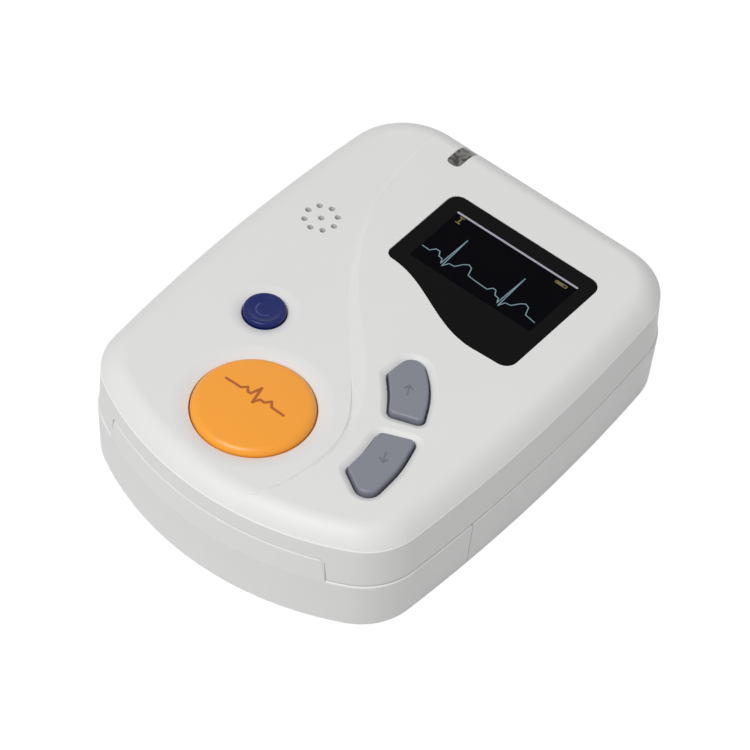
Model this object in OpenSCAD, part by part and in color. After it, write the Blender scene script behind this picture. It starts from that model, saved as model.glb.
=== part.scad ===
// Pocket ECG monitor with an event button, a power button, two arrow keys,
// a display under a glossy window, a speaker and two cells under a sliding cover.
// Millimetres. +Z is up, +Y runs to the end with the sockets, the base lies on z = 0
// and the origin is under the middle of the body.

/* [Body] */
// Length of the body along Y
body_l = 110; // [106:1:120]
// Width of the body along X
body_w = 83; // [80:1:92]
// Radius of the bulged long sides
side_r = 423; // [300:1:700]
// Radius of the arched front end
front_r = 68; // [60:1:90]
// Plan radius of the four corners
corner_r = 14.4; // [12:0.1:17]
// Width of the sloping band round the top
band_w = 4.3; // [3:0.1:6]
// Drop from the top to the crisp edge under the band
band_h = 3.8; // [2.5:0.1:4.5]
// Distance in from the crisp edge at which the band's lower slope would meet the top
band_turn = 2.6; // [1.5:0.1:4]
// How far the walls lean out from the crisp edge down to the seam
flare = 0.4; // [0:0.05:0.8]
// How far the walls lean back in from the seam down to the base
draft = 0.75; // [0.3:0.05:1.2]
// Chamfer round the base
foot = 0.8; // [0.3:0.1:1.5]
// Wall thickness of the casing
wall = 2; // [1.6:0.1:2.4]
// How far the step between the decks bows out to the left in the middle of the body
step_bow = 1.6; // [0:0.1:2.5]
// Height of the right hand deck above the left hand deck
deck_step = 0.5; // [0.2:0.1:0.9]
// Height of the seam round the sides
seam_h = 13.2; // [12:0.1:14]
// Visible gap along the seams
seam_gap = 0.2; // [0.1:0.05:0.4]

/* [Battery cover] */
// Width of the raised lip of the cover at the front end
lip_w = 56.5; // [50:0.5:58]
// Height of the raised lip above the base
lip_h = 19.2; // [17:0.1:20]
// How far the cover slides before it lifts off
cover_travel = 15; // [10:1:18]
// Floor thickness of the cover and the casing
floor_t = 2; // [1.6:0.1:2.6]
// Running clearance of the cover's rails
rail_gap = 0.2; // [0.15:0.05:0.3]
// Thickness of the rails and ribs
rail_t = 1.2; // [1:0.1:1.5]
// Length of the rails along Y
rail_l = 13.5; // [8:0.5:15]
// Width of the cover's latch tab
tab_w = 16; // [8:1:24]
// Length of the cover's latch tab past its rear edge
tab_l = 2.6; // [1.5:0.1:4]
// Number of grip grooves under the cover
grip_n = 5; // [3:1:7]
// Radius of the grip grooves
grip_r = 0.5; // [0.3:0.1:0.8]
// Spacing of the grip grooves
grip_step = 2.4; // [2:0.1:3]

/* [Cells] */
// Diameter of a cell
cell_d = 14.5; // [13.5:0.1:14.6]
// Length of a cell with its terminal
cell_l = 50.5; // [48:0.1:51]
// Height of the positive terminal
nub_h = 1.3; // [1:0.1:1.6]
// Diameter of the positive terminal
nub_d = 5.5; // [4:0.1:6]
// Clearance under the cells
cell_gap = 0.3; // [0.2:0.05:0.5]
// Clearance over the cells
cell_head = 0.2; // [0.1:0.05:0.4]
// Clearance behind the rear cell
cell_back = 0.1; // [0.05:0.05:0.3]
// Clearance between the two cells
cell_space = 0.4; // [0.2:0.1:1]
// Distance from the front end of the body to the axis of the front cell
cell_front = 14.9; // [14.6:0.1:17]
// Room at each end of a cell for its contacts, both ends together
contact_room = 5; // [4:0.1:6]
// Wall thickness of the cell tray
tray_wall = 1.2; // [1:0.1:1.6]
// Gap between the cell tray and the walls
tray_gap = 0.5; // [0.3:0.1:1]
// Thickness of the contact metal
contact_t = 0.4; // [0.3:0.05:0.6]
// Width of a contact plate
contact_w = 11; // [8:0.5:13]

/* [Circuit board] */
// Thickness of the board
board_t = 1.2; // [0.8:0.1:1.6]
// Gap between the cell tray and the board
board_gap = 0.8; // [0.5:0.1:2]
// Height from the board to the inside of the deck
board_drop = 4.8; // [4.6:0.1:6]
// Gap between the board's edge and the casing
board_edge = 1.4; // [0.8:0.1:2.5]
// Distance from the front end of the body to the board
board_front = 9; // [8:0.5:11]
// Distance from the back end of the body to the board
board_back = 4.6; // [3.6:0.1:6]
// Distance of the board screws from the sides
board_screw_in = 7.6; // [7.4:0.1:8.5]
// Places of the two pairs of board screws, as shares of the body's length
board_screw_y = [0.018, 0.282]; // [front pair and rear pair]
// Width, length and height of the processor
processor_size = [14, 14, 1.2]; // [width, length and height]
// Middle of the processor, as shares of the body's width and length
processor_at = [0.157, 0.064]; // [across and along]
// Width, length and height of the shield over the input circuit
shield_size = [20, 20, 2.4]; // [width, length and height]
// Middle of the shield, as shares of the body's width and length
shield_at = [-0.241, 0.018]; // [across and along]

/* [Event button] */
// Middle of the event button, as a share of the body's width
event_across = -0.058; // [-0.07:0.001:-0.03]
// Distance of its middle from the front end of the body
event_front = 22.3; // [20.5:0.1:23]
// Diameter of the event button
event_d = 26.2; // [22:0.1:27]
// Height of the crown above the left deck
event_rise = 1.2; // [1:0.1:2]
// Radius of the rounded edge of the crown
event_edge = 1.7; // [1:0.1:2]
// Travel of the event button
event_travel = 0.6; // [0.3:0.1:0.8]
// Outer diameter of the shallow dish round the event button
event_dish_d = 33; // [30:0.1:34]
// Depth of the dishes round the buttons
dish_h = 0.7; // [0.3:0.1:1]

/* [Power button] */
// Middle of the power button, as shares of the body's width and length
power_at = [-0.243, -0.107]; // [across and along]
// Diameter of the power button
power_d = 9.9; // [8:0.1:11]
// Height of its rim above the left deck
power_rise = 0.9; // [0.5:0.1:1.4]
// Depth of the hollow in its top
power_hollow = 0.35; // [0.2:0.05:0.5]
// Travel of the power button
power_travel = 0.5; // [0.3:0.1:0.7]
// Outer diameter of the shallow dish round the power button
power_dish_d = 14; // [12:0.1:15]

/* [Arrow keys] */
// Middle of the arcs that both keys follow, from the middle of the event button
key_arc_at = [-1.48, 3.2]; // [across and along]
// Angles between which the upper key lies
up_key_from = 29; // [26:0.5:32]
up_key_to = 56; // [52:0.5:60]
// Angles between which the lower key lies, and the angle of its point
down_key_from = -8.5; // [-12:0.5:-4]
down_key_to = 18; // [15:0.5:20]
down_key_point = -13; // [-15:0.5:-10]
// Distance of that point in from the outer side
down_key_tip = 2.6; // [2:0.1:4]
// Radius of the inner side of the keys
key_in_r = 26.8; // [26:0.1:28]
// Radius of the outer side of the keys
key_out_r = 34.6; // [33:0.1:35]
// Corner radius of the keys
key_corner = 1.5; // [0.8:0.1:2]
// Height of the keys above the right deck
key_rise = 0.6; // [0.3:0.1:1]
// Travel of the keys
key_travel = 0.5; // [0.3:0.1:0.7]
// Width of the shallow dish round each key
key_dish_w = 1.2; // [0.6:0.1:1.5]

/* [Buttons and switches] */
// Gap between each button and its hole
button_gap = 0.25; // [0.15:0.05:0.4]
// Wall thickness of the hollow buttons
button_wall = 1.2; // [1:0.1:1.5]
// Width of the flange that holds each button under the deck
flange_w = 1; // [0.8:0.1:1.4]
// Thickness of the flange
flange_t = 0.7; // [0.5:0.1:0.9]
// Clearance between a flange and the deck
flange_gap = 0.1; // [0.05:0.05:0.2]
// Side of a switch body
switch_w = 6; // [4.5:0.1:6.2]
// Height of a switch body
switch_h = 2.8; // [2.4:0.1:3]
// Diameter of a switch plunger
plunger_d = 3.2; // [2.4:0.1:3.4]
// How far a plunger stands above its switch
plunger_h = 1; // [0.9:0.1:1.2]
// How deep a plunger stands in its switch
plunger_in = 0.8; // [0.6:0.1:1]
// How far each button's boss stands out round its plunger
boss_w = 0.5; // [0.3:0.1:1]
// Running clearance round a plunger
plunger_gap = 0.08; // [0.05:0.01:0.1]

/* [Window and display] */
// Left and right edges of the window, as shares of the body's width
window_across = [-0.139, 0.335]; // [left and right]
// Upper edge, lower left corner and lowest point of the window, as shares of the body's length
window_along = [0.368, 0.155, 0.08]; // [top, left corner and lowest point]
// Where the sweep of the lower edge ends, as a share of the body's width
window_sweep = 0.217; // [0.17:0.001:0.24]
// Corner radius of the window
window_r = 2.6; // [1.5:0.1:3.5]
// Thickness of the window
window_t = 1; // [0.8:0.1:1.2]
// Thickness of the adhesive under the window
tape_t = 0.15; // [0.1:0.05:0.3]
// Distance of the adhesive in from the window's edge
tape_in = 0.1; // [0.05:0.05:0.5]
// Gap round the window
window_gap = 0.12; // [0.05:0.01:0.2]
// Width and height of the lit area
lit_w = 32; // [28:0.1:32.5]
lit_h = 16.4; // [14:0.1:17]
// Middle of the lit area, as shares of the body's width and length
lit_at = [0.1025, 0.259]; // [across and along]
// Border of the glass round the lit area
glass_border = 3.2; // [2.5:0.1:3.5]
// Thickness of the display glass
glass_t = 1.7; // [1.2:0.1:1.8]
// Thickness of the foam frame over the glass
foam_t = 0.3; // [0.2:0.05:0.4]
// Wall of the carrier under the glass
carrier_wall = 1; // [0.8:0.1:1.4]
// Width of the ribbon
ribbon_w = 14; // [10:0.5:20]
// Room for the ribbon's bend past the end of the glass
ribbon_bend = 1.5; // [1:0.1:2]
// Length of the ribbon's end on the board
ribbon_tail = 2.5; // [1.5:0.1:4]
// Thickness of the ribbon
ribbon_t = 0.15; // [0.1:0.01:0.2]

/* [Speaker] */
// Distance of the speaker's middle from the left side
speaker_side = 13.5; // [13:0.1:15]
// Middle of the speaker, as a share of the body's length
speaker_along = 0.148; // [0.13:0.001:0.17]
// Diameter of the speaker
speaker_d = 15; // [12:0.5:15]
// Height of the speaker
speaker_h = 3.4; // [2.6:0.1:3.6]
// Diameter of each sound hole
hole_d = 1.25; // [0.8:0.05:1.6]
// Radius of the ring of sound holes
hole_ring = 3.5; // [3:0.1:4.5]
// Number of holes in the ring
hole_n = 8; // [6:1:10]
// Gap between the speaker and the ring round it
speaker_gap = 0.1; // [0.05:0.05:0.2]
// Thickness of the dust mesh
mesh_t = 0.2; // [0.1:0.05:0.3]

/* [Indicator] */
// Middle of the indicator window, as a share of the body's width
lamp_across = -0.207; // [-0.22:0.001:-0.19]
// Width of the indicator window
lamp_w = 3.4; // [2.6:0.1:4]
// Length of the indicator window along the top
lamp_l = 9; // [7:0.1:9.5]
// How far it runs down the back
lamp_down = 2.4; // [1.5:0.1:2.8]
// Thickness of its leg, which leads the light up from the lamp
lamp_leg = 5.5; // [5:0.1:6]
// Thickness of the indicator window
lamp_t = 1.5; // [1:0.1:1.8]
// Gap round the indicator window
lamp_gap = 0.08; // [0.05:0.01:0.15]
// Size of the lamp on the board
diode = [1.6, 0.9, 0.7]; // [length, width and height]
// Distance of the lamp in from the board's rear edge
diode_in = 0.2; // [0.1:0.1:0.5]

/* [Sockets] */
// Middle of the lead socket, as a share of the body's width
lead_across = 0.241; // [0.2:0.001:0.26]
// Bore of the lead socket
lead_bore = 3.6; // [3.5:0.05:3.8]
// Depth of the bore
lead_depth = 13; // [11:0.5:13.5]
// Diameter of the collar round the bore
lead_collar = 5.2; // [5:0.1:5.4]
// Width and height of the lead socket's body
lead_body = [9, 4.8]; // [width and height]
// Middle of the data socket, as a share of the body's width
data_across = -0.036; // [-0.07:0.001:0]
// Width and height of the data socket
data_body = [7.8, 3.2]; // [width and height]
// Length of the data socket
data_l = 7.4; // [6:0.1:8]
// Distance of its face in from the back end
data_in = 1.95; // [1.5:0.05:2.4]
// Sheet thickness of the data socket
data_t = 0.4; // [0.3:0.05:0.5]
// Gap round the sockets
socket_gap = 0.25; // [0.15:0.05:0.4]

/* [Screws] */
// Distance of the rear case screws from the sides and from the back end
rear_screw = [9.4, 12.5]; // [from the side and from the back]
// Gap between the cell tray and the front case screws' posts
front_screw_gap = 0.8; // [0.5:0.1:1.5]
// Distance of the front case screws from the front end
front_screw_in = 17; // [16:0.1:19]
// Shank diameter of the case screws
screw_d = 2; // [1.6:0.1:2.4]
// Head diameter of the case screws
head_d = 4; // [3.4:0.1:4.6]
// Head height of the screws
head_h = 1.4; // [1:0.1:1.8]
// Diameter of the screw posts
post_d = 5.6; // [5:0.1:6]
// Length and width of the cross slots, as shares of the head's diameter
slot_l = 0.6; // [0.5:0.05:0.7]
slot_w = 0.15; // [0.1:0.01:0.2]
// Depth of the screw in its post
screw_bite = 7; // [5:0.5:8]
// Shank diameter of the board screws
board_screw_d = 1.6; // [1.2:0.1:1.8]
// Head diameter of the board screws
board_head_d = 3; // [2.6:0.1:3.4]

/* [Hidden] */

white = [0.89, 0.89, 0.87];
orange = [0.97, 0.62, 0.16];
navy = [0.12, 0.14, 0.42];
key_grey = [0.52, 0.52, 0.58];
black = [0.05, 0.05, 0.06];
steel = [0.75, 0.76, 0.78];
board_green = [0.07, 0.32, 0.18];

$fn = 64;
eps = 0.01;
over = 5;
screw_gap = 0.05;

// Heights, built up from the base
cell_z = floor_t + cell_gap + cell_d / 2;
tray_in_z = cell_z + cell_d / 2 + cell_head;
tray_top = tray_in_z + tray_wall;
board_z = tray_top + board_gap;
board_top = board_z + board_t;
deck_in_z = board_top + board_drop;
deck_z = deck_in_z + wall;
top_z = deck_z + deck_step;
edge_z = top_z - band_h;

// Front and back of the battery cover
cell_y1 = -body_l / 2 + cell_front;
cell_y2 = cell_y1 + cell_d + cell_space;
cover_y = cell_y2 + cell_d / 2 + cell_back;
tray_y = cover_y + seam_gap;
bay_x = (cell_l + contact_room) / 2;
tray_x = bay_x + tray_wall;
// Plate of the lower shell over the cover's sides
plate_z = seam_h + rail_gap * 2;
plate_top = plate_z + rail_t;
rail_y = cover_y - rail_l - 1;

// Middles of the case screws
rear_post = [body_w / 2 - rear_screw[0], body_l / 2 - rear_screw[1]];
front_post = [tray_x + front_screw_gap + post_d / 2, -body_l / 2 + front_screw_in];

// Places on the deck, from shares of the body's width and length
function place(share) = [share[0] * body_w, share[1] * body_l];

event_c = [event_across * body_w, -body_l / 2 + event_front];
power_c = place(power_at);
key_c = event_c + key_arc_at;
speaker_c = [-body_w / 2 + speaker_side, speaker_along * body_l];
lamp_x = lamp_across * body_w;
lead_x = lead_across * body_w;
data_x = data_across * body_w;

// Outline --------------------------------------------------------------------------

corner_steps = 8;
side_steps = 8;
front_steps = 8;

// Middles of the side arc, the front arc and the corner arcs on the right
side_c = [body_w / 2 - side_r, 0];
front_c = [0, front_r - body_l / 2];
back_corner = [
    sqrt(pow(side_r - corner_r, 2) - pow(body_l / 2 - corner_r, 2)) + side_c[0],
    body_l / 2 - corner_r
];

// Lower of the two points at distances ra and rb from a and b
function meet(a, ra, b, rb) =
    let (d = norm(b - a), u = (b - a) / d, t = (ra * ra - rb * rb + d * d) / (2 * d),
         h = sqrt(ra * ra - t * t))
    a + t * u + h * [u[1], -u[0]];

front_corner = meet(side_c, side_r - corner_r, front_c, front_r - corner_r);

function heading(v) = atan2(v[1], v[0]);
function arc(c, r, a0, a1, n) =
    [for (i = [0:n]) let (a = a0 + (a1 - a0) * i / n) c + r * [cos(a), sin(a)]];

back_turn = heading(back_corner - side_c);
front_turn = heading(front_corner - side_c);
nose_turn = heading(front_corner - front_c);

// Right half of the plan outline from the back to the front, moved in by inset
function half_outline(inset) = concat(
    arc(back_corner, corner_r - inset, 90, back_turn, corner_steps),
    [for (i = [1:side_steps - 1])
        let (a = back_turn + (front_turn - back_turn) * i / side_steps)
        side_c + (side_r - inset) * [cos(a), sin(a)]],
    arc(front_corner, corner_r - inset, front_turn, nose_turn, corner_steps),
    [for (i = [1:front_steps])
        let (a = nose_turn + (-90 - nose_turn) * i / front_steps)
        front_c + (front_r - inset) * [cos(a), sin(a)]]
);

function outline(inset) =
    let (right = half_outline(inset), n = len(right))
    concat(right, [for (i = [n - 2:-1:0]) [-right[i][0], right[i][1]]]);

// Inset of the wall at height z. It is widest at the seam.
function wall_inset(z) =
    z > seam_h ? -flare * (edge_z - z) / (edge_z - seam_h) : draft * (seam_h - z) / seam_h - flare;

// Distance of the tray in from the outline, which clears the walls round it
tray_inset = wall_inset(0) + wall + tray_gap;

// Points of the band's profile as [inset, height], curved into the top
band_steps = 5;
function band_point(t) =
    let (u = 1 - t) [
        2 * u * t * band_turn + t * t * band_w,
        edge_z + (2 * u * t + t * t) * band_h
    ];
band = [for (i = [0:band_steps]) band_point(i / band_steps)];

// Solid between rings of the outline, each given as [inset, height], from the lowest up
module loft(rings) {
    loops = [for (r = rings) [for (p = outline(r[0])) [p[0], p[1], r[1]]]];
    n = len(loops[0]);
    m = len(loops);
    sides = [for (k = [0:m - 2]) for (i = [0:n - 1])
        let (a = k * n + i, b = k * n + (i + 1) % n)
        [a, b, b + n, a + n]];
    base = [for (i = [n - 1:-1:0]) i];
    top = [for (i = [0:n - 1]) (m - 1) * n + i];
    polyhedron([for (l = loops) each l], concat([base], sides, [top]), convexity = 4);
}

module slab(inset, z0, z1)
    translate([0, 0, z0])
        linear_extrude(z1 - z0)
            polygon(outline(inset));

// Box between two corners
module block(a, b)
    translate(a)
        cube(b - a);

module at(p, z = 0)
    translate([p[0], p[1], z])
        children();

// Copies of a child on the left and on the right
module both_sides() {
    children();
    mirror([1, 0, 0]) children();
}

// Line between the decks -------------------------------------------------------

function bezier(p, t) =
    let (u = 1 - t)
    u * u * u * p[0] + 3 * u * u * t * p[1] + 3 * u * t * t * p[2] + t * t * t * p[3];

function bezier_heading(p, t) =
    let (u = 1 - t)
    u * u * (p[1] - p[0]) + 2 * u * t * (p[2] - p[1]) + t * t * (p[3] - p[2]);

// Line of the step, from the back to the front, as three curves
step_curves = [for (c = [
    [[-0.296, 0.455], [-0.299, 0.227], [-0.199, 0.109], [-0.024, -0.014]],
    [[-0.024, -0.014], [0.096, -0.098], [0.1855, -0.186], [0.182, -0.291]],
    [[0.182, -0.291], [0.1795, -0.359], [0.164, -0.414], [0.125, -0.469]]
]) [for (p = c) place(p)]];
step_parts = 8;
step_at = concat(
    [for (k = [0:len(step_curves) - 1]) for (i = [0:step_parts - 1]) [k, i / step_parts]],
    [[len(step_curves) - 1, 1]]);

// Sideways bow of the line at u, which runs from 0 at the back to 3 at the front
bow_at = 1.18;
bow_length = 0.48;
function bow(u) = step_bow * exp(-pow((u - bow_at) / bow_length, 2));

step_line = [for (s = step_at)
    let (c = step_curves[s[0]], d = bezier_heading(c, s[1]))
    bezier(c, s[1]) + bow(s[0] + s[1]) * [d[1], -d[0]] / norm(d)];

module left_deck_cut()
    translate([0, 0, deck_z])
        linear_extrude(over)
            polygon(concat(
                [[step_line[0][0], body_l]],
                step_line,
                [step_line[len(step_line) - 1] - [over, over], [-body_w, -body_l], [-body_w, body_l]]));

// Keys -------------------------------------------------------------------------

function key_arc(r, a0, a1) = arc(key_c, r, a0, a1, 6);
function key_spot(r, a) = key_c + r * [cos(a), sin(a)];

// Plan of a key, moved out by grow: 0 is the upper key, 1 the lower one
module key_plan(i, grow = 0)
    offset(r = key_corner + grow, $fn = 24)
        offset(delta = -key_corner)
            polygon(i == 0
                ? concat(key_arc(key_out_r, up_key_from, up_key_to),
                         key_arc(key_in_r, up_key_to, up_key_from))
                : concat(key_arc(key_in_r, down_key_to, down_key_from),
                         [key_spot(key_out_r - down_key_tip, down_key_point)],
                         key_arc(key_out_r, down_key_from, down_key_to)));

// Middle of the switch under each key
key_mid_r = (key_in_r + key_out_r) / 2;
up_c = key_spot(key_mid_r, (up_key_from + up_key_to) / 2);
down_c = key_spot(key_mid_r, (down_key_from + down_key_to) / 2);

// Window -------------------------------------------------------------------------

sweep_steps = 12;
window_lo = [window_across[0] * body_w, window_along[2] * body_l];
window_hi = [window_across[1] * body_w, window_along[0] * body_l];
window_left_y = window_along[1] * body_l;
sweep_from = window_lo[0] + window_r / 2;
sweep_to = window_sweep * body_w;
window_sill = [for (i = [0:sweep_steps])
    let (t = i / sweep_steps)
    [sweep_from + (sweep_to - sweep_from) * t,
     window_lo[1] + (window_left_y - window_lo[1]) * (1 + cos(180 * t)) / 2]];

// Plan of the window, moved in by inset
module window_plan(inset = 0)
    offset(delta = -inset)
        offset(r = window_r, $fn = 32)
            offset(delta = -window_r)
                polygon(concat(
                    [[window_lo[0], window_left_y]],
                    window_sill,
                    [[window_hi[0], window_lo[1]], window_hi, [window_lo[0], window_hi[1]]]));

window_seat = top_z - window_t - tape_t;
view_border = 1;
lit_c = place(lit_at);
lit_lo = lit_c - [lit_w, lit_h] / 2;
lit_hi = lit_c + [lit_w, lit_h] / 2;

// Rectangle round the lit area, moved out by grow, from z0 to z1
module lit_block(grow, z0, z1)
    block([lit_lo[0] - grow, lit_lo[1] - grow, z0], [lit_hi[0] + grow, lit_hi[1] + grow, z1]);

// Sockets ------------------------------------------------------------------------

lead_z = board_z - lead_body[1] / 2;
data_z = board_z - data_body[1] / 2;
back_in_y = body_l / 2 - wall;

// Places of the board screws
board_posts = [for (y = board_screw_y) [body_w / 2 - board_screw_in, y * body_l]];

// Casing -------------------------------------------------------------------------

module upper_shell()
    color(white)
        difference() {
            union() {
                difference() {
                    loft(concat([[wall_inset(seam_h), seam_h + seam_gap / 2]], band));
                    loft([[wall_inset(seam_h) + wall, seam_h - 1],
                          [wall, edge_z - wall / 2],
                          [band_w + wall / 2, deck_in_z]]);
                }
                both_sides() {
                    at(rear_post, seam_h)
                        cylinder(d = post_d, h = deck_in_z - seam_h + eps);
                    at(front_post, plate_top)
                        cylinder(d = post_d, h = deck_in_z - plate_top + eps);
                    for (p = board_posts)
                        at(p, board_top)
                            cylinder(d = post_d, h = deck_in_z - board_top + eps);
                }
                speaker_ring();
            }
            left_deck_cut();
            // Notch for the lip of the battery cover
            block([-lip_w / 2 - seam_gap, -body_l, 0],
                  [lip_w / 2 + seam_gap, cell_y1, lip_h + seam_gap / 2]);
            button_hole(event_c, event_d, event_dish_d);
            button_hole(power_c, power_d, power_dish_d);
            for (i = [0, 1]) key_hole(i);
            window_hole();
            sound_holes();
            lamp_slot(0);
            socket_holes();
            both_sides() {
                at(rear_post, seam_h - eps)
                    cylinder(d = screw_d + 2 * screw_gap, h = screw_bite + 1, $fn = 32);
                at(front_post, plate_top - eps)
                    cylinder(d = screw_d + 2 * screw_gap, h = screw_bite + 1, $fn = 32);
                for (p = board_posts)
                    at(p, board_top - eps)
                        cylinder(d = board_screw_d + 2 * screw_gap, h = board_drop - 1, $fn = 32);
            }
        }

module button_hole(c, d, dish_d) {
    r = d / 2 + button_gap;
    at(c, deck_in_z - eps)
        cylinder(r = r, h = over + wall);
    at(c, deck_z - dish_h)
        cylinder(r1 = r, r2 = dish_d / 2, h = dish_h + eps);
}

module key_hole(i) {
    translate([0, 0, deck_in_z - eps])
        linear_extrude(over + wall)
            key_plan(i, button_gap);
    translate([0, 0, top_z - dish_h / 2])
        linear_extrude(over)
            key_plan(i, key_dish_w);
}

module window_hole() {
    translate([0, 0, window_seat])
        linear_extrude(over)
            window_plan();
    lit_block(view_border, deck_in_z - eps, top_z);
}

module sound_holes() {
    at(speaker_c, deck_in_z - eps) {
        cylinder(d = hole_d, h = over, $fn = 24);
        for (i = [0:hole_n - 1])
            rotate(360 * i / hole_n)
                translate([hole_ring, 0, 0])
                    cylinder(d = hole_d, h = over, $fn = 24);
    }
}

module speaker_ring()
    at(speaker_c, deck_in_z - speaker_h / 2)
        difference() {
            cylinder(r = speaker_d / 2 + speaker_gap + wall / 2, h = speaker_h / 2 + eps);
            translate([0, 0, -eps])
                cylinder(r = speaker_d / 2 + speaker_gap, h = speaker_h / 2 + eps);
        }

// Slot for the indicator window, which turns down over the back end
module lamp_slot(gap) {
    w = lamp_w / 2 - gap;
    y0 = body_l / 2 - lamp_l + gap;
    block([lamp_x - w, y0 + w, top_z - lamp_t + gap], [lamp_x + w, body_l, top_z + 1]);
    at([lamp_x, y0 + w], top_z - lamp_t + gap)
        cylinder(r = w, h = lamp_t + 1, $fn = 32);
    block([lamp_x - w, body_l / 2 - lamp_leg + gap, edge_z - lamp_down + gap],
          [lamp_x + w, body_l, top_z]);
}

module socket_holes() {
    translate([lead_x, back_in_y - over, lead_z])
        rotate([-90, 0, 0])
            cylinder(d = lead_collar + 2 * socket_gap, h = wall + 2 * over);
    block([data_x - data_body[0] / 2 - socket_gap, back_in_y - 1,
           data_z - data_body[1] / 2 - socket_gap],
          [data_x + data_body[0] / 2 + socket_gap, body_l / 2 + 1,
           data_z + data_body[1] / 2 + socket_gap]);
}

// Lower casing: the rear pan, the cell tray and the plates beside the tray
module lower_shell()
    color(white)
        difference() {
            union() {
                intersection() {
                    difference() {
                        loft([[wall_inset(0) + foot, 0], [wall_inset(foot), foot],
                              [wall_inset(seam_h), seam_h - seam_gap / 2]]);
                        loft([[wall_inset(0) + wall, floor_t],
                              [wall_inset(seam_h) + wall, seam_h + 1]]);
                    }
                    block([-body_w, tray_y, -1], [body_w, body_l, seam_h + 2]);
                }
                tray();
                both_sides() {
                    at(rear_post, floor_t - eps)
                        cylinder(d = post_d, h = seam_h - floor_t + eps);
                    side_plate();
                }
            }
            both_sides() {
                at(rear_post, -eps) {
                    cylinder(d = head_d + 2 * button_gap, h = floor_t + head_h);
                    cylinder(d = screw_d + 4 * screw_gap, h = seam_h + 1, $fn = 32);
                }
                at(front_post, plate_z - 1)
                    cylinder(d = screw_d + 4 * screw_gap, h = rail_t + 2, $fn = 32);
            }
            // Ledge under the cover's latch tab
            block([-tab_w / 2 - rail_gap, tray_y - 1, floor_t / 2 - rail_gap / 2],
                  [tab_w / 2 + rail_gap, cover_y + tab_l + rail_gap, floor_t + rail_gap]);
        }

module tray() {
    intersection() {
        slab(tray_inset, floor_t, tray_top);
        difference() {
            block([-tray_x, -body_l / 2, floor_t + cell_gap], [tray_x, tray_y + tray_wall, tray_top]);
            block([-bay_x, -body_l, 0], [bay_x, tray_y, tray_in_z]);
        }
    }
    // Bulkhead behind the cells, which joins the side walls below the seam
    intersection() {
        slab(wall_inset(0) + wall / 2, floor_t - eps, seam_h - seam_gap);
        block([-body_w, tray_y, 0], [body_w, tray_y + tray_wall, seam_h]);
    }
    intersection() {
        slab(tray_inset, floor_t, plate_top);
        block([-body_w, tray_y, 0], [body_w, tray_y + tray_wall, plate_top]);
    }
}

// Plate over the side of the cover, with the rail that the cover's rib hooks on
module side_plate() {
    difference() {
        intersection() {
            slab(tray_inset, plate_z, plate_top);
            block([tray_x - 1, -body_l / 2, 0], [body_w, tray_y + tray_wall, body_l]);
        }
        block([0, -body_l, 0], [bay_x, tray_y, tray_in_z]);
    }
    block([rail_x() - 2 * rail_t, rail_y, plate_z - 3 * rail_t + rail_gap],
          [rail_x() - rail_t, rail_y + rail_l, plate_z + eps]);
    block([rail_x() - 2 * rail_t, rail_y, plate_z - 3 * rail_t + rail_gap],
          [rail_x(), rail_y + rail_l, plate_z - 2 * rail_t + rail_gap]);
}

// Outer side of the casing's rail, clear of the cover's wall over its whole length
function rail_x() = side_c[0] + sqrt(pow(side_r, 2) - pow(rail_y, 2)) - wall_inset(0) - wall - 2 * rail_gap;

module battery_cover()
    color(white)
        difference() {
            union() {
                intersection() {
                    cover_wall(seam_h);
                    block([-body_w, -body_l, -1], [body_w, cover_y, seam_h]);
                }
                intersection() {
                    cover_wall(lip_h);
                    block([-lip_w / 2, -body_l, seam_h - 1], [lip_w / 2, cell_y1, lip_h]);
                }
                both_sides() cover_rib();
                block([-tab_w / 2, cover_y - 2, floor_t / 2], [tab_w / 2, cover_y + tab_l, floor_t]);
            }
            for (i = [0:grip_n - 1])
                translate([0, cell_y1 - 4 + i * grip_step, 0])
                    rotate([0, 90, 0])
                        cylinder(r = grip_r, h = lip_w, center = true, $fn = 16);
        }

// Wall and floor of the cover, up to height h less half the seam
module cover_wall(h) {
    turn = h > seam_h ? [seam_h] : [];
    difference() {
        loft(concat([[wall_inset(0) + foot, 0], [wall_inset(foot), foot]],
                    [for (z = turn) [wall_inset(z), z]],
                    [[wall_inset(h), h - seam_gap / 2]]));
        loft(concat([[wall_inset(0) + wall, floor_t]],
                    [for (z = turn) [wall_inset(z) + wall, z]],
                    [[wall_inset(h) + wall, h + 1]]));
    }
}

module cover_rib()
    intersection() {
        slab(wall_inset(seam_h) + wall - rail_t / 2, 0, seam_h);
        block([rail_x() - rail_t + rail_gap, rail_y, plate_z - 2 * rail_t + 2 * rail_gap],
              [body_w, rail_y + rail_l, plate_z - rail_t + rail_gap]);
    }

// Screw with its cross-slotted head down and the underside of the head at z = 0
module screw(shank, head, length)
    difference() {
        union() {
            cylinder(d = shank, h = length, $fn = 32);
            translate([0, 0, -head_h])
                cylinder(d = head, h = head_h, $fn = 32);
        }
        for (a = [0, 90])
            rotate(a)
                translate([0, 0, -head_h])
                    cube([head * slot_l, head * slot_w, head_h], center = true);
    }

module case_screws()
    color(steel)
        both_sides() {
            at(rear_post, floor_t + head_h - eps)
                screw(screw_d, head_d, seam_h - floor_t - head_h + screw_bite);
            at(front_post, plate_z)
                screw(screw_d, head_d, rail_t + screw_bite);
        }

// Buttons ------------------------------------------------------------------------

// Height at which every button rests on its plunger
rest_z = board_top + switch_h + plunger_h;
flange_z = deck_in_z - flange_gap - flange_t;

boss_r = plunger_d / 2 + boss_w;

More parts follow.
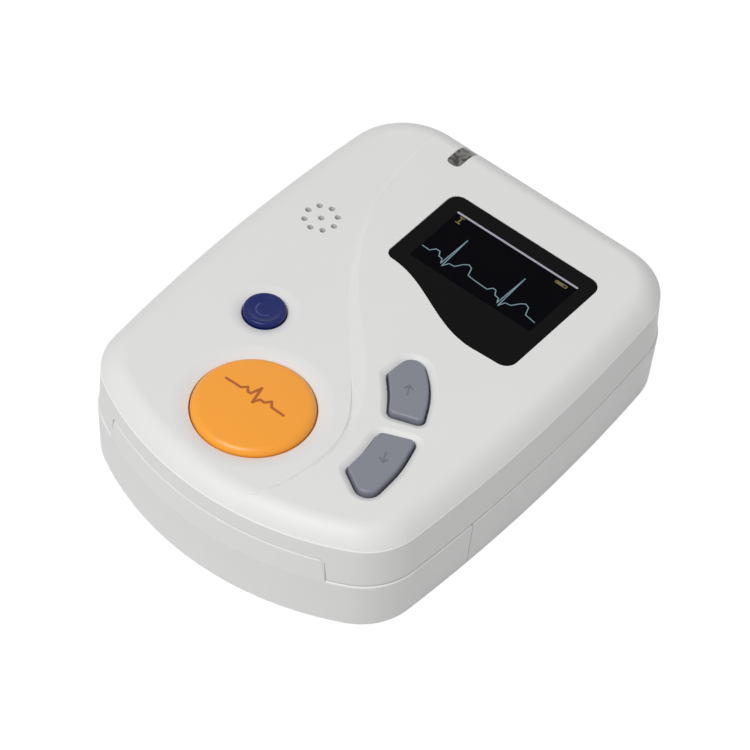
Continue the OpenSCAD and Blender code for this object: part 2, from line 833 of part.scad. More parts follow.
// Hollow cap with a rounded edge and a low dome
module event_button() {
    r = event_d / 2;
    dome = 0.4;
    parts = 5;
    crown = deck_z + event_rise;
    shoulder = crown - dome - event_edge;
    crown_r = r - event_edge;
    in_z = crown - dome - button_wall;
    color(orange)
        at(event_c)
            rotate_extrude()
                polygon(concat(
                    [[0, rest_z], [boss_r, rest_z], [boss_r, in_z],
                     [r - button_wall - dome, in_z - dome],
                     [r - button_wall, flange_z], [r + flange_w, flange_z],
                     [r + flange_w, flange_z + flange_t], [r, flange_z + flange_t]],
                    [for (i = [0:parts]) let (a = 90 * i / parts)
                        [crown_r + event_edge * cos(a), shoulder + event_edge * sin(a)]],
                    [for (i = [1:parts]) let (t = 1 - i / parts)
                        [crown_r * t, crown - dome * t * t]]));
}

// Solid cap with a raised rim round its hollow top
module power_button() {
    r = power_d / 2;
    crown = deck_z + power_rise;
    edge = 0.6;
    color(navy)
        at(power_c)
            rotate_extrude()
                polygon([
                    [0, rest_z], [boss_r, rest_z],
                    [boss_r, flange_z], [r + flange_w, flange_z],
                    [r + flange_w, flange_z + flange_t], [r, flange_z + flange_t],
                    [r, crown - edge], [r - edge * 0.3, crown - edge * 0.3], [r - edge, crown],
                    [r - 2 * edge, crown], [r - 3 * edge, crown - power_hollow], [0, crown - power_hollow]
                ]);
}

// Arrow key over the switch at c
module arrow_key(i, c)
    color(key_grey) {
        translate([0, 0, flange_z])
            linear_extrude(top_z + key_rise - flange_z)
                key_plan(i);
        translate([0, 0, flange_z])
            linear_extrude(flange_t)
                key_plan(i, flange_w);
        at(c, rest_z)
            cylinder(r = boss_r, h = flange_z - rest_z + eps);
    }

module up_key() arrow_key(0, up_c);
module down_key() arrow_key(1, down_c);

module plunger(c)
    color(black)
        at(c, board_top + switch_h - plunger_in)
            cylinder(d = plunger_d, h = plunger_h + plunger_in);

module event_plunger() plunger(event_c);
module power_plunger() plunger(power_c);
module up_plunger() plunger(up_c);
module down_plunger() plunger(down_c);

// Room left under a plunger that is pressed all the way
well_room = 0.2;

// Switch body with the well that its plunger travels in
module switch_body(c, travel)
    color(steel)
        at(c, board_top)
            difference() {
                translate([-switch_w / 2, -switch_w / 2, 0])
                    cube([switch_w, switch_w, switch_h]);
                translate([0, 0, switch_h - plunger_in - travel - well_room])
                    cylinder(d = plunger_d + 2 * plunger_gap, h = switch_h);
            }

module event_switch() switch_body(event_c, event_travel);
module power_switch() switch_body(power_c, power_travel);
module up_switch() switch_body(up_c, key_travel);
module down_switch() switch_body(down_c, key_travel);

// Window and display -------------------------------------------------------------

module window()
    color(black)
        translate([0, 0, window_seat + tape_t])
            linear_extrude(window_t)
                window_plan(window_gap);

module window_tape()
    color(black)
        translate([0, 0, window_seat])
            linear_extrude(tape_t)
                difference() {
                    window_plan(window_gap + tape_in);
                    translate(lit_lo - [view_border, view_border])
                        square(lit_hi - lit_lo + 2 * [view_border, view_border]);
                }

glass_top = deck_in_z - foam_t;
glass_z = glass_top - glass_t;

module display_foam()
    color(black)
        difference() {
            lit_block(glass_border, glass_top, deck_in_z);
            lit_block(view_border, glass_top - 1, deck_in_z + 1);
        }

module display_glass()
    color(black)
        lit_block(glass_border, glass_z, glass_top);

module display_carrier()
    color(black)
        difference() {
            lit_block(glass_border, board_top, glass_z);
            lit_block(glass_border - carrier_wall, board_top - 1, glass_z + 1);
        }

// Ribbon from the end of the glass down to the board
module display_ribbon() {
    y = lit_lo[1] - glass_border;
    z = (glass_z + glass_top) / 2;
    x0 = lit_c[0] - ribbon_w / 2;
    x1 = lit_c[0] + ribbon_w / 2;
    down_y = y - ribbon_bend;
    color(orange) {
        block([x0, down_y, z], [x1, y, z + ribbon_t]);
        block([x0, down_y, board_top], [x1, down_y + ribbon_t, z + ribbon_t]);
        block([x0, down_y - ribbon_tail, board_top], [x1, down_y + ribbon_t, board_top + ribbon_t]);
    }
}

// Board --------------------------------------------------------------------------

module main_board()
    color(board_green)
        difference() {
            intersection() {
                slab(wall + board_edge, board_z, board_top);
                block([-body_w, -body_l / 2 + board_front, 0],
                      [body_w, body_l / 2 - board_back, body_l]);
            }
            both_sides() {
                for (p = [rear_post, front_post])
                    at(p, board_z - 1)
                        cylinder(d = post_d + 2 * board_edge, h = board_t + 2);
                for (p = board_posts)
                    at(p, board_z - 1)
                        cylinder(d = board_screw_d + 2 * screw_gap, h = board_t + 2, $fn = 32);
            }
        }

module board_screws()
    color(steel)
        both_sides()
            for (p = board_posts)
                at(p, board_z)
                    screw(board_screw_d, board_head_d, board_t + board_drop / 2);

// Flat piece of a given size that hangs under the board with its middle at c
module under_board(c, size)
    block([c[0] - size[0] / 2, c[1] - size[1] / 2, board_z - size[2]],
          [c[0] + size[0] / 2, c[1] + size[1] / 2, board_z]);

module processor()
    color(black)
        under_board(place(processor_at), processor_size);

// Metal can over the circuit that reads the lead
module signal_shield()
    color(steel)
        under_board(place(shield_at), shield_size);

// Speaker ------------------------------------------------------------------------

module speaker() {
    rim_w = 1.5;
    rim_h = 0.5;
    color(black)
        at(speaker_c, deck_in_z - mesh_t - speaker_h)
            difference() {
                cylinder(d = speaker_d, h = speaker_h);
                translate([0, 0, speaker_h - rim_h])
                    cylinder(d = speaker_d - 2 * rim_w, h = 2 * rim_h);
            }
}

module speaker_mesh()
    color(steel)
        at(speaker_c, deck_in_z - mesh_t)
            cylinder(d = speaker_d - 1, h = mesh_t);

// Indicator ----------------------------------------------------------------------

module indicator_window()
    color(black)
        intersection() {
            loft(concat([[lamp_gap, edge_z - over]], [for (p = band) [p[0] + lamp_gap, p[1] - lamp_gap]]));
            lamp_slot(lamp_gap);
        }

module indicator_lamp() {
    y = body_l / 2 - board_back - diode_in;
    color(white)
        block([lamp_x - diode[0] / 2, y - diode[1], board_top],
              [lamp_x + diode[0] / 2, y, board_top + diode[2]]);
}

// Sockets ------------------------------------------------------------------------

module lead_socket() {
    back_wall = 1.5;
    face = body_l / 2;
    rear = back_in_y - socket_gap;
    color(black)
        difference() {
            union() {
                block([lead_x - lead_body[0] / 2, face - lead_depth - back_wall,
                       lead_z - lead_body[1] / 2],
                      [lead_x + lead_body[0] / 2, rear, lead_z + lead_body[1] / 2]);
                translate([lead_x, rear - 1, lead_z])
                    rotate([-90, 0, 0])
                        cylinder(d = lead_collar, h = face - rear + 1);
            }
            translate([lead_x, face - lead_depth, lead_z])
                rotate([-90, 0, 0])
                    cylinder(d = lead_bore, h = lead_depth + 1);
        }
}

module data_socket() {
    face = body_l / 2 - data_in;
    rear = face - data_l;
    w = data_body[0] / 2;
    h = data_body[1] / 2;
    tongue_w = w - 1.6;
    tongue_h = 0.3;
    color(steel) {
        difference() {
            block([data_x - w, rear, data_z - h], [data_x + w, face, data_z + h]);
            block([data_x - w + data_t, rear + 1, data_z - h + data_t],
                  [data_x + w - data_t, face + 1, data_z + h - data_t]);
        }
        block([data_x - tongue_w, rear + 1 - eps, data_z - tongue_h],
              [data_x + tongue_w, face - 1, data_z + tongue_h]);
    }
}

// Cells and contacts ---------------------------------------------------------------

bump_h = 0.6;
strap_w = 4;
plus_end = bay_x - contact_t - bump_h;

// Cell along X with its positive end at +X
module cell()
    color(key_grey)
        translate([plus_end, 0, cell_z])
            rotate([0, -90, 0]) {
                cylinder(d = nub_d, h = nub_h + eps);
                translate([0, 0, nub_h])
                    cylinder(d = cell_d, h = cell_l - nub_h);
            }

module front_cell() translate([0, cell_y1, 0]) cell();
module rear_cell() translate([0, cell_y2, 0]) mirror([1, 0, 0]) cell();

// Contact plate against the tray's wall on the +X side
module contact_plate()
    block([bay_x - contact_t, -contact_w / 2, cell_z - contact_w / 2],
          [bay_x, contact_w / 2, cell_z + contact_w / 2]);

module plus_contact() {
    contact_plate();
    translate([plus_end, 0, cell_z])
        rotate([0, 90, 0])
            cylinder(d = nub_d - 1, h = bump_h + contact_t / 2, $fn = 32);
}

// Leaf that springs in from the plate to the flat end of a cell
module minus_contact() {
    in_x = bay_x - contact_t;
    tip_x = cell_l - plus_end;
    leaf_w = 6;
    foot_y = 4.5;
    tip_y = 1;
    contact_plate();
    translate([0, 0, cell_z - leaf_w / 2])
        linear_extrude(leaf_w)
            polygon([[in_x, -foot_y], [tip_x, -tip_y], [tip_x, tip_y], [in_x, foot_y],
                     [in_x, foot_y - 1.5 * contact_t], [tip_x + contact_t, tip_y - contact_t / 2],
                     [tip_x + contact_t, contact_t / 2 - tip_y], [in_x, 1.5 * contact_t - foot_y]]);
}

module positive_contact()
    color(steel)
        translate([0, cell_y1, 0])
            plus_contact();

module negative_contact()
    color(steel)
        translate([0, cell_y2, 0])
            minus_contact();

// Both cells meet in series at this piece
module bridge_contact()
    color(steel)
        mirror([1, 0, 0]) {
            translate([0, cell_y1, 0]) minus_contact();
            translate([0, cell_y2, 0]) plus_contact();
            block([bay_x - contact_t, cell_y1, cell_z - strap_w / 2], [bay_x, cell_y2, cell_z + strap_w / 2]);
        }

upper_shell();
lower_shell();
battery_cover();
case_screws();
event_button();
power_button();
up_key();
down_key();
event_plunger();
power_plunger();
up_plunger();
down_plunger();
event_switch();
power_switch();
up_switch();
down_switch();
window();
window_tape();
display_foam();
display_glass();
display_carrier();
display_ribbon();
main_board();
board_screws();
processor();
signal_shield();
speaker();
speaker_mesh();
indicator_window();
indicator_lamp();
lead_socket();
data_socket();
front_cell();
rear_cell();
positive_contact();
negative_contact();
bridge_contact();
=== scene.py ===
"""Looks of the pocket heart monitor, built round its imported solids.

Shapes are worked out in millimetres and scaled to the scene's metres when they are finished.
X runs to the side with the keys, Y to the end with the sockets, Z up from the base.
"""
import math

import bmesh
import bpy
from mathutils import Matrix, Vector


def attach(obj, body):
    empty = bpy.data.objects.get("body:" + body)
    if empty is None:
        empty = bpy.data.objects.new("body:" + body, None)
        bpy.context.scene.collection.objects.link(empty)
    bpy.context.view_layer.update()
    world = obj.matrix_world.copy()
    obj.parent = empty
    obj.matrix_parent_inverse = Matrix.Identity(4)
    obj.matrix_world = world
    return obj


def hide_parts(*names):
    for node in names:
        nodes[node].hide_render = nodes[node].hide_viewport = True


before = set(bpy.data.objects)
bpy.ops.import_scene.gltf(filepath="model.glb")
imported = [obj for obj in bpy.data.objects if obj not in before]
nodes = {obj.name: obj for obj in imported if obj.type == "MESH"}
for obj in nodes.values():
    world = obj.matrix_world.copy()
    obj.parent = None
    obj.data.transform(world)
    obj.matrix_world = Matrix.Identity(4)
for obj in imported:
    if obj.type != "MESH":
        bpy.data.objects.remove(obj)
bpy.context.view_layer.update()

MM = 0.001

# Casing
HALF_W = 41.5
HALF_L = 55
SIDE_R = 423
FRONT_R = 68
CORNER_R = 14.4
BAND_W = 5.5
BAND_TURN = 2.6
EDGE_Z = 23.7
TOP_Z = 27.5
STEP = 0.5
DECK_Z = TOP_Z - STEP
DECK_IN_Z = 25
FLARE = 0.4
DRAFT = 0.75
REVEAL = 0.3
WALL = 2
SEAM_Z = 13.2
SEAM_GAP = 0.2
LIP_X = 28.25
LIP_Z = 19.2
LIP_Y = -49.31
COVER_Y = -17.85
FLOOR_T = 2
FOOT = 0.8

# Buttons
EVENT = (-4.81, -32.7)
EVENT_R = 12.92
EVENT_TOP = 28.2
POWER = (-19.95, -11.4)
POWER_R = 4.52
KEY_TOP = 28.1
FLANGE_Z = 24.2
FLANGE_TOP = 24.9
REST_Z = 24.0
GAP = 0.25
KEY_GAP = 0.4


# ---- Outlines in the plan --------------------------------------------------------------------


def spot(centre, radius, degrees):
    a = math.radians(degrees)
    return (centre[0] + radius * math.cos(a), centre[1] + radius * math.sin(a))


def arc(centre, radius, start, end, parts):
    return [spot(centre, radius, start + (end - start) * i / parts) for i in range(parts + 1)]


def circle(centre, radius, parts=64):
    return arc(centre, radius, 0, 360, parts)[:-1]


def heading(centre, point):
    return math.degrees(math.atan2(point[1] - centre[1], point[0] - centre[0]))


def meet(a, ra, b, rb):
    """Lower of the two points at distance ra from a and rb from b."""
    gap = math.dist(a, b)
    along = (ra * ra - rb * rb + gap * gap) / (2 * gap)
    off = math.sqrt(ra * ra - along * along)
    ux, uy = (b[0] - a[0]) / gap, (b[1] - a[1]) / gap
    return (a[0] + along * ux + off * uy, a[1] + along * uy - off * ux)


SIDE_C = (HALF_W - SIDE_R, 0)
FRONT_C = (0, FRONT_R - HALF_L)
BACK_CORNER = (
    math.sqrt((SIDE_R - CORNER_R) ** 2 - (HALF_L - CORNER_R) ** 2) + SIDE_C[0],
    HALF_L - CORNER_R,
)
FRONT_CORNER = meet(SIDE_C, SIDE_R - CORNER_R, FRONT_C, FRONT_R - CORNER_R)


def outline(inset):
    """The casing's outline, clockwise from above, moved in by inset."""
    back = heading(SIDE_C, BACK_CORNER)
    front = heading(SIDE_C, FRONT_CORNER)
    nose = heading(FRONT_C, FRONT_CORNER)
    right = arc(BACK_CORNER, CORNER_R - inset, 90, back, 14)
    right += arc(SIDE_C, SIDE_R - inset, back, front, 20)[1:-1]
    right += arc(FRONT_CORNER, CORNER_R - inset, front, nose, 14)
    right += arc(FRONT_C, FRONT_R - inset, nose, -90, 18)[1:]
    return right + [(-x, y) for x, y in reversed(right[:-1])]


def filleted(corners, parts=7):
    """Closed outline through (x, y, radius) corners, each rounded to its radius."""
    points = []
    for i, (x, y, radius) in enumerate(corners):
        if not radius:
            points.append((x, y))
            continue
        here = Vector((x, y))
        before = (Vector(corners[i - 1][:2]) - here).normalized()
        after = (Vector(corners[(i + 1) % len(corners)][:2]) - here).normalized()
        half = before.angle(after) / 2
        middle = here + (before + after).normalized() * (radius / math.sin(half))
        start = heading(middle, here + before * (radius / math.tan(half)))
        sweep = (heading(middle, here + after * (radius / math.tan(half))) - start + 180) % 360 - 180
        points += arc(middle, radius, start, start + sweep, parts)
    return points


def grown(points, by):
    """A closed outline moved outwards, each point along the middle of its corner."""
    area = sum(a[0] * b[1] - b[0] * a[1] for a, b in zip(points, points[1:] + points[:1]))
    side = 1 if area > 0 else -1
    moved = []
    for i, point in enumerate(points):
        here = Vector(point)
        before = (here - Vector(points[i - 1])).normalized()
        after = (Vector(points[(i + 1) % len(points)]) - here).normalized()
        out = Vector((before.y + after.y, -before.x - after.x)).normalized() * side
        lean = abs(out.x * before.y - out.y * before.x)
        moved.append(tuple(here + out * by / max(lean, 0.4)))
    return moved


def level(points, z):
    return [(x, y, z) for x, y in points]


# ---- Modelling -------------------------------------------------------------------------------


def deselect():
    bpy.ops.object.select_all(action="DESELECT")


def pick(piece):
    deselect()
    piece.select_set(True)
    bpy.context.view_layer.objects.active = piece


def named(name):
    piece = bpy.context.object
    piece.name = piece.data.name = name
    return piece


def stack(name, loops):
    """Closed solid through loops of (x, y, z) points: the first face is extruded from loop to loop."""
    deselect()
    bpy.ops.mesh.primitive_circle_add(vertices=len(loops[0]), radius=1, fill_type="NGON")
    piece = named(name)
    for vertex, point in zip(piece.data.vertices, loops[0]):
        vertex.co = point
    bpy.ops.object.mode_set(mode="EDIT")
    bpy.ops.mesh.select_mode(type="FACE")
    bpy.ops.mesh.select_all(action="SELECT")
    order = {tuple(v.co): i for i, v in enumerate(bmesh.from_edit_mesh(piece.data).verts)}
    for loop in loops[1:]:
        bpy.ops.mesh.extrude_region_move()
        mesh = bmesh.from_edit_mesh(piece.data)
        face = next(f for f in mesh.faces if f.select)
        placed = {}
        for vertex in face.verts:
            i = order[tuple(vertex.co)]
            vertex.co = loop[i]
            placed[tuple(vertex.co)] = i
        order = placed
        bmesh.update_edit_mesh(piece.data)
    bpy.ops.mesh.select_all(action="SELECT")
    bpy.ops.mesh.normals_make_consistent(inside=False)
    bpy.ops.object.mode_set(mode="OBJECT")
    return piece


def turned(name, centre, profile, parts=64):
    """Round solid about a vertical axis from (radius, height) points."""
    return stack(name, [level(circle(centre, r, parts), z) for r, z in profile])


def turned_across(name, centre, profile, axis, parts=48):
    """Round solid about a level axis, 0 for X and 1 for Y, from (radius, place on the axis) points."""
    loops = []
    for r, along in profile:
        loop = circle((0, 0), r, parts)
        if axis == 0:
            loops.append([(along, centre[0] + a, centre[1] + b) for a, b in loop])
        else:
            loops.append([(centre[0] + a, along, centre[1] + b) for a, b in loop])
    return stack(name, loops)


def box(name, low, high):
    deselect()
    middle = [(a + b) / 2 for a, b in zip(low, high)]
    bpy.ops.mesh.primitive_cube_add(size=1, location=middle)
    piece = named(name)
    bpy.ops.transform.resize(value=[b - a for a, b in zip(low, high)])
    bpy.ops.object.transform_apply(location=True, rotation=True, scale=True)
    return piece


def soft_box(name, low, high, edge, parts=2):
    piece = box(name, low, high)
    modifier = piece.modifiers.new("soft_edges", "BEVEL")
    modifier.width = edge
    modifier.segments = parts
    bpy.ops.object.modifier_apply(modifier=modifier.name)
    return piece


def joined(pieces):
    deselect()
    for piece in pieces:
        piece.select_set(True)
    bpy.context.view_layer.objects.active = pieces[0]
    bpy.ops.object.join()
    return pieces[0]


def combine(piece, other, operation):
    pick(piece)
    modifier = piece.modifiers.new("shape", "BOOLEAN")
    modifier.operation = operation
    modifier.solver = "EXACT"
    modifier.use_self = False
    modifier.object = other
    bpy.ops.object.modifier_apply(modifier=modifier.name)
    bpy.data.objects.remove(other, do_unlink=True)
    return piece


def cut(piece, *tools):
    for tool in tools:
        combine(piece, tool, "DIFFERENCE")
    return piece


def add(piece, *others):
    for other in others:
        combine(piece, other, "UNION")
    return piece


SHARP_ANGLE = 33


def finish_mesh(piece):
    """Merges what meets, turns faces outwards, scales to metres and shades by angle."""
    pick(piece)
    bpy.ops.object.mode_set(mode="EDIT")
    bpy.ops.mesh.select_all(action="SELECT")
    bpy.ops.mesh.remove_doubles(threshold=0.0015)
    bpy.ops.mesh.dissolve_degenerate(threshold=0.001)
    bpy.ops.mesh.select_all(action="SELECT")
    bpy.ops.mesh.normals_make_consistent(inside=False)
    bpy.ops.object.mode_set(mode="OBJECT")
    piece.scale = (MM, MM, MM)
    bpy.ops.object.transform_apply(location=True, rotation=True, scale=True)
    bpy.ops.object.shade_smooth_by_angle(angle=math.radians(SHARP_ANGLE))
    modifier = piece.modifiers.new("even_shading", "WEIGHTED_NORMAL")
    modifier.keep_sharp = True
    modifier.weight = 60
    bpy.ops.object.modifier_apply(modifier=modifier.name)


def dress(piece, body, material, slot, *replaced):
    finish_mesh(piece)
    piece.data.materials.clear()
    piece.data.materials.append(material)
    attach(piece, body)
    if replaced:
        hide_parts(*replaced)


# ---- Materials -------------------------------------------------------------------------------


def linear(*colour):
    """A colour from its values of 0 to 255 as they show on a screen."""
    return tuple(
        (c / 255 / 12.92 if c <= 10 else ((c / 255 + 0.055) / 1.055) ** 2.4) for c in colour
    ) + (1,)


def moulded_group():
    """Colour, roughness and height of moulded plastic: fine grain and a slow drift in tone."""
    group = bpy.data.node_groups.new("moulded_surface", "ShaderNodeTree")
    for name, kind in (
        ("Colour", "NodeSocketColor"), ("Deep Colour", "NodeSocketColor"),
        ("Grain Scale", "NodeSocketFloat"), ("Drift Scale", "NodeSocketFloat"),
        ("Low Roughness", "NodeSocketFloat"), ("High Roughness", "NodeSocketFloat"),
    ):
        group.interface.new_socket(name=name, in_out="INPUT", socket_type=kind)
    for name, kind in (
        ("Colour", "NodeSocketColor"), ("Roughness", "NodeSocketFloat"), ("Height", "NodeSocketFloat"),
    ):
        group.interface.new_socket(name=name, in_out="OUTPUT", socket_type=kind)
    n, link = group.nodes, group.links.new
    given, out = n.new("NodeGroupInput"), n.new("NodeGroupOutput")
    place = n.new("ShaderNodeTexCoord")
    grain = n.new("ShaderNodeTexNoise")
    grain.inputs["Detail"].default_value = 3
    drift = n.new("ShaderNodeTexNoise")
    drift.inputs["Detail"].default_value = 2
    tone = n.new("ShaderNodeMix")
    tone.data_type = "RGBA"
    span = n.new("ShaderNodeMapRange")
    link(place.outputs["Object"], grain.inputs["Vector"])
    link(place.outputs["Object"], drift.inputs["Vector"])
    link(given.outputs["Grain Scale"], grain.inputs["Scale"])
    link(given.outputs["Drift Scale"], drift.inputs["Scale"])
    link(drift.outputs["Fac"], tone.inputs["Factor"])
    link(given.outputs["Colour"], tone.inputs["A"])
    link(given.outputs["Deep Colour"], tone.inputs["B"])
    link(grain.outputs["Fac"], span.inputs["Value"])
    link(given.outputs["Low Roughness"], span.inputs["To Min"])
    link(given.outputs["High Roughness"], span.inputs["To Max"])
    link(tone.outputs["Result"], out.inputs["Colour"])
    link(span.outputs["Result"], out.inputs["Roughness"])
    link(grain.outputs["Fac"], out.inputs["Height"])
    return group


MOULDED = moulded_group()


def new_material(name):
    material = bpy.data.materials.new(name)
    material.use_nodes = True
    n = material.node_tree.nodes
    return material, n, material.node_tree.links.new, n["Principled BSDF"]


def moulded(name, colour, roughness, grain=5200, depth=0.012, drift=45, spread=0.02, fade=0.975,
            specular=0.5, metallic=0.0, coat=0.0, coat_roughness=0.1):
    """Plastic or metal with a moulded or rolled surface. depth is the grain's height in millimetres."""
    material, n, link, shader = new_material(name)
    surface = n.new("ShaderNodeGroup")
    surface.node_tree = MOULDED
    surface.inputs["Colour"].default_value = colour
    surface.inputs["Deep Colour"].default_value = tuple(c * fade for c in colour[:3]) + (1,)
    surface.inputs["Grain Scale"].default_value = grain
    surface.inputs["Drift Scale"].default_value = drift
    surface.inputs["Low Roughness"].default_value = roughness - spread
    surface.inputs["High Roughness"].default_value = roughness + spread
    bump = n.new("ShaderNodeBump")
    bump.inputs["Strength"].default_value = 0.35
    bump.inputs["Distance"].default_value = depth * MM
    link(surface.outputs["Height"], bump.inputs["Height"])
    link(surface.outputs["Colour"], shader.inputs["Base Color"])
    link(surface.outputs["Roughness"], shader.inputs["Roughness"])
    link(bump.outputs["Normal"], shader.inputs["Normal"])
    shader.inputs["Metallic"].default_value = metallic
    shader.inputs["Specular IOR Level"].default_value = specular
    shader.inputs["Coat Weight"].default_value = coat
    shader.inputs["Coat Roughness"].default_value = coat_roughness
    return material


def paint_edge_highlight(material):
    """Painted highlight: a thin line of lighter colour along the crisp edge, standing in for light catching
    it, from the height in the object's own coordinates.
    """
    n, link = material.node_tree.nodes, material.node_tree.links.new
    place, parts = n.new("ShaderNodeTexCoord"), n.new("ShaderNodeSeparateXYZ")
    off, away, edge_highlight_mask = n.new("ShaderNodeMath"), n.new("ShaderNodeMath"), n.new("ShaderNodeMapRange")
    tone = n.new("ShaderNodeMix")
    tone.data_type = "RGBA"
    off.operation, away.operation = "SUBTRACT", "ABSOLUTE"
    off.inputs[1].default_value = (EDGE_Z - 0.02) * MM
    for name, value in (("From Min", 0.1), ("From Max", 0.2), ("To Min", 1000), ("To Max", 0)):
        edge_highlight_mask.inputs[name].default_value = value * MM
    # Colour of the painted highlight line at the crisp edge.
    tone.inputs["B"].default_value = linear(252, 252, 251)
    shader = n["Principled BSDF"]
    plain = shader.inputs["Base Color"].links[0].from_socket
    link(place.outputs["Object"], parts.inputs["Vector"])
    link(parts.outputs["Z"], off.inputs[0])
    link(off.outputs["Value"], away.inputs[0])
    link(away.outputs["Value"], edge_highlight_mask.inputs["Value"])
    link(edge_highlight_mask.outputs["Result"], tone.inputs["Factor"])
    link(plain, tone.inputs["A"])
    link(tone.outputs["Result"], shader.inputs["Base Color"])


casing_white = moulded("casing_white", linear(231, 231, 230), 0.46, depth=0.010)
# Paints a highlight line into the casing's colour along its crisp edge.
paint_edge_highlight(casing_white)
orange = moulded("button_orange", linear(253, 164, 44), 0.30, depth=0.004, fade=0.98)
blue = moulded("button_blue", linear(16, 32, 100), 0.26, depth=0.004, fade=0.92, specular=0.25)
key_grey = moulded("key_grey", linear(130, 132, 143), 0.38, depth=0.006)
window_black = moulded("window_black", linear(12, 12, 12), 0.10, depth=0.001, specular=0.05, fade=0.9)
lit_black = moulded("lit_area_black", linear(5, 5, 10), 0.08, depth=0.001, specular=0.02, fade=0.9)
dark_plastic = moulded("carrier_black", linear(30, 30, 32), 0.5)
foam = moulded("foam_black", linear(22, 22, 22), 0.85, grain=2600, depth=0.05)
steel = moulded("screw_steel", linear(170, 172, 176), 0.34, grain=3000, metallic=1.0, specular=0.5)
sheet_metal = moulded("sheet_metal", linear(196, 197, 200), 0.32, grain=2400, metallic=1.0)
contact_metal = moulded("contact_metal", linear(205, 201, 190), 0.22, grain=2200, metallic=1.0)
amber = moulded("ribbon_amber", linear(186, 116, 38), 0.35, depth=0.003)
board_green = moulded("board_green", linear(28, 92, 58), 0.38, grain=1500, depth=0.01, drift=400, fade=0.75)
lamp_white = moulded("lamp_white", linear(232, 228, 205), 0.35)
mesh_grey = moulded("mesh_grey", linear(30, 30, 31), 0.5, grain=3500, depth=0.1, metallic=0.6)
ink_brown = moulded("ink_brown", linear(176, 92, 28), 0.5, depth=0.004)
arc_blue = moulded("arc_blue", linear(44, 52, 128), 0.4, depth=0.004)
key_mark = moulded("key_mark", linear(108, 109, 120), 0.45, depth=0.004)


def glowing(name, colour, strength):
    """Lit line of the display. Its brightness drifts a little along the line."""
    material, n, link, shader = new_material(name)
    place = n.new("ShaderNodeTexCoord")
    drift = n.new("ShaderNodeTexNoise")
    drift.inputs["Scale"].default_value = 900
    tone = n.new("ShaderNodeMix")
    tone.data_type = "RGBA"
    tone.inputs["A"].default_value = colour
    tone.inputs["B"].default_value = tuple(c * 0.7 for c in colour[:3]) + (1,)
    link(place.outputs["Object"], drift.inputs["Vector"])
    link(drift.outputs["Fac"], tone.inputs["Factor"])
    link(tone.outputs["Result"], shader.inputs["Emission Color"])
    shader.inputs["Base Color"].default_value = (0.01, 0.01, 0.01, 1)
    shader.inputs["Emission Strength"].default_value = strength
    shader.inputs["Roughness"].default_value = 0.3
    return material


trace_blue = glowing("trace_blue", linear(118, 150, 160), 0.9)
status_grey = glowing("status_grey", linear(166, 167, 180), 0.9)
mark_yellow = glowing("mark_yellow", linear(118, 107, 46), 0.9)


def smoked():
    """Dark window over the lamp: a paler haze with dark flecks behind its gloss."""
    material, n, link, shader = new_material("indicator_smoke")
    place = n.new("ShaderNodeTexCoord")
    fleck = n.new("ShaderNodeTexNoise")
    fleck.inputs["Scale"].default_value = 900
    fleck.inputs["Detail"].default_value = 1
    ramp = n.new("ShaderNodeValToRGB")
    ramp.color_ramp.elements[0].position = 0.42
    ramp.color_ramp.elements[0].color = linear(44, 43, 41)
    ramp.color_ramp.elements[1].position = 0.62
    ramp.color_ramp.elements[1].color = linear(118, 117, 113)
    link(place.outputs["Object"], fleck.inputs["Vector"])
    link(fleck.outputs["Fac"], ramp.inputs["Fac"])
    link(ramp.outputs["Color"], shader.inputs["Base Color"])
    shader.inputs["Roughness"].default_value = 0.16
    return material


indicator_smoke = smoked()


# ---- Upper casing ----------------------------------------------------------------------------


def wall_inset(z):
    """The walls lean out from the crisp edge to the seam, and back in below it."""
    if z > SEAM_Z:
        return -FLARE * (EDGE_Z - z) / (EDGE_Z - SEAM_Z)
    return DRAFT * (SEAM_Z - z) / SEAM_Z - FLARE


def upper_inset(z):
    """The upper wall stands back a little, so that the lower part's edge shows."""
    return wall_inset(z) + REVEAL * min(1, (EDGE_Z - z) / 4)


def band_point(t, height):
    """(inset, z) on the band's section, which curves over into a deck this high above the crisp edge."""
    u = 1 - t
    return (2 * u * t * BAND_TURN + t * t * BAND_W, EDGE_Z + (2 * u * t + t * t) * height)


def casing_top(name, deck_z, grow=0.0, low=SEAM_Z + SEAM_GAP / 2):
    """Solid under a deck, with a softened seam edge and a softened crisp edge."""
    height = deck_z - EDGE_Z
    rings = [(upper_inset(low) + 0.12, low), (upper_inset(low), low + 0.12)]
    rings += [(upper_inset(EDGE_Z - 0.35), EDGE_Z - 0.35), (0.005, EDGE_Z - 0.14), (0.03, EDGE_Z)]
    rings += [(0.1, EDGE_Z + 0.1)]
    rings += [band_point(t, height) for t in (0.08, 0.16, 0.26, 0.37, 0.48, 0.59, 0.7, 0.8, 0.9, 1)]
    return stack(name, [level(outline(inset - grow), z) for inset, z in rings])


def bezier(p, t):
    u = 1 - t
    weights = (u ** 3, 3 * u * u * t, 3 * u * t * t, t ** 3)
    return Vector([sum(w * q[k] for w, q in zip(weights, p)) for k in (0, 1)])


def bezier_heading(p, t):
    u = 1 - t
    weights = (u * u, 2 * u * t, t * t)
    return Vector([sum(w * (b[k] - a[k]) for w, a, b in zip(weights, p, p[1:])) for k in (0, 1)])


STEP_CURVES = [
    [(-24.6, 50), (-24.8, 25), (-16.5, 12), (-2, -1.5)],
    [(-2, -1.5), (8, -10.8), (15.4, -20.5), (15.1, -32)],
    [(15.1, -32), (14.9, -39.5), (13.6, -45.5), (10.4, -51.6)],
]


def step_width(u):
    """Width of the step's slanted face at u along its curves."""
    return 0.3 + 2.9 * math.exp(-(((u - 1.18) / 0.48) ** 2))


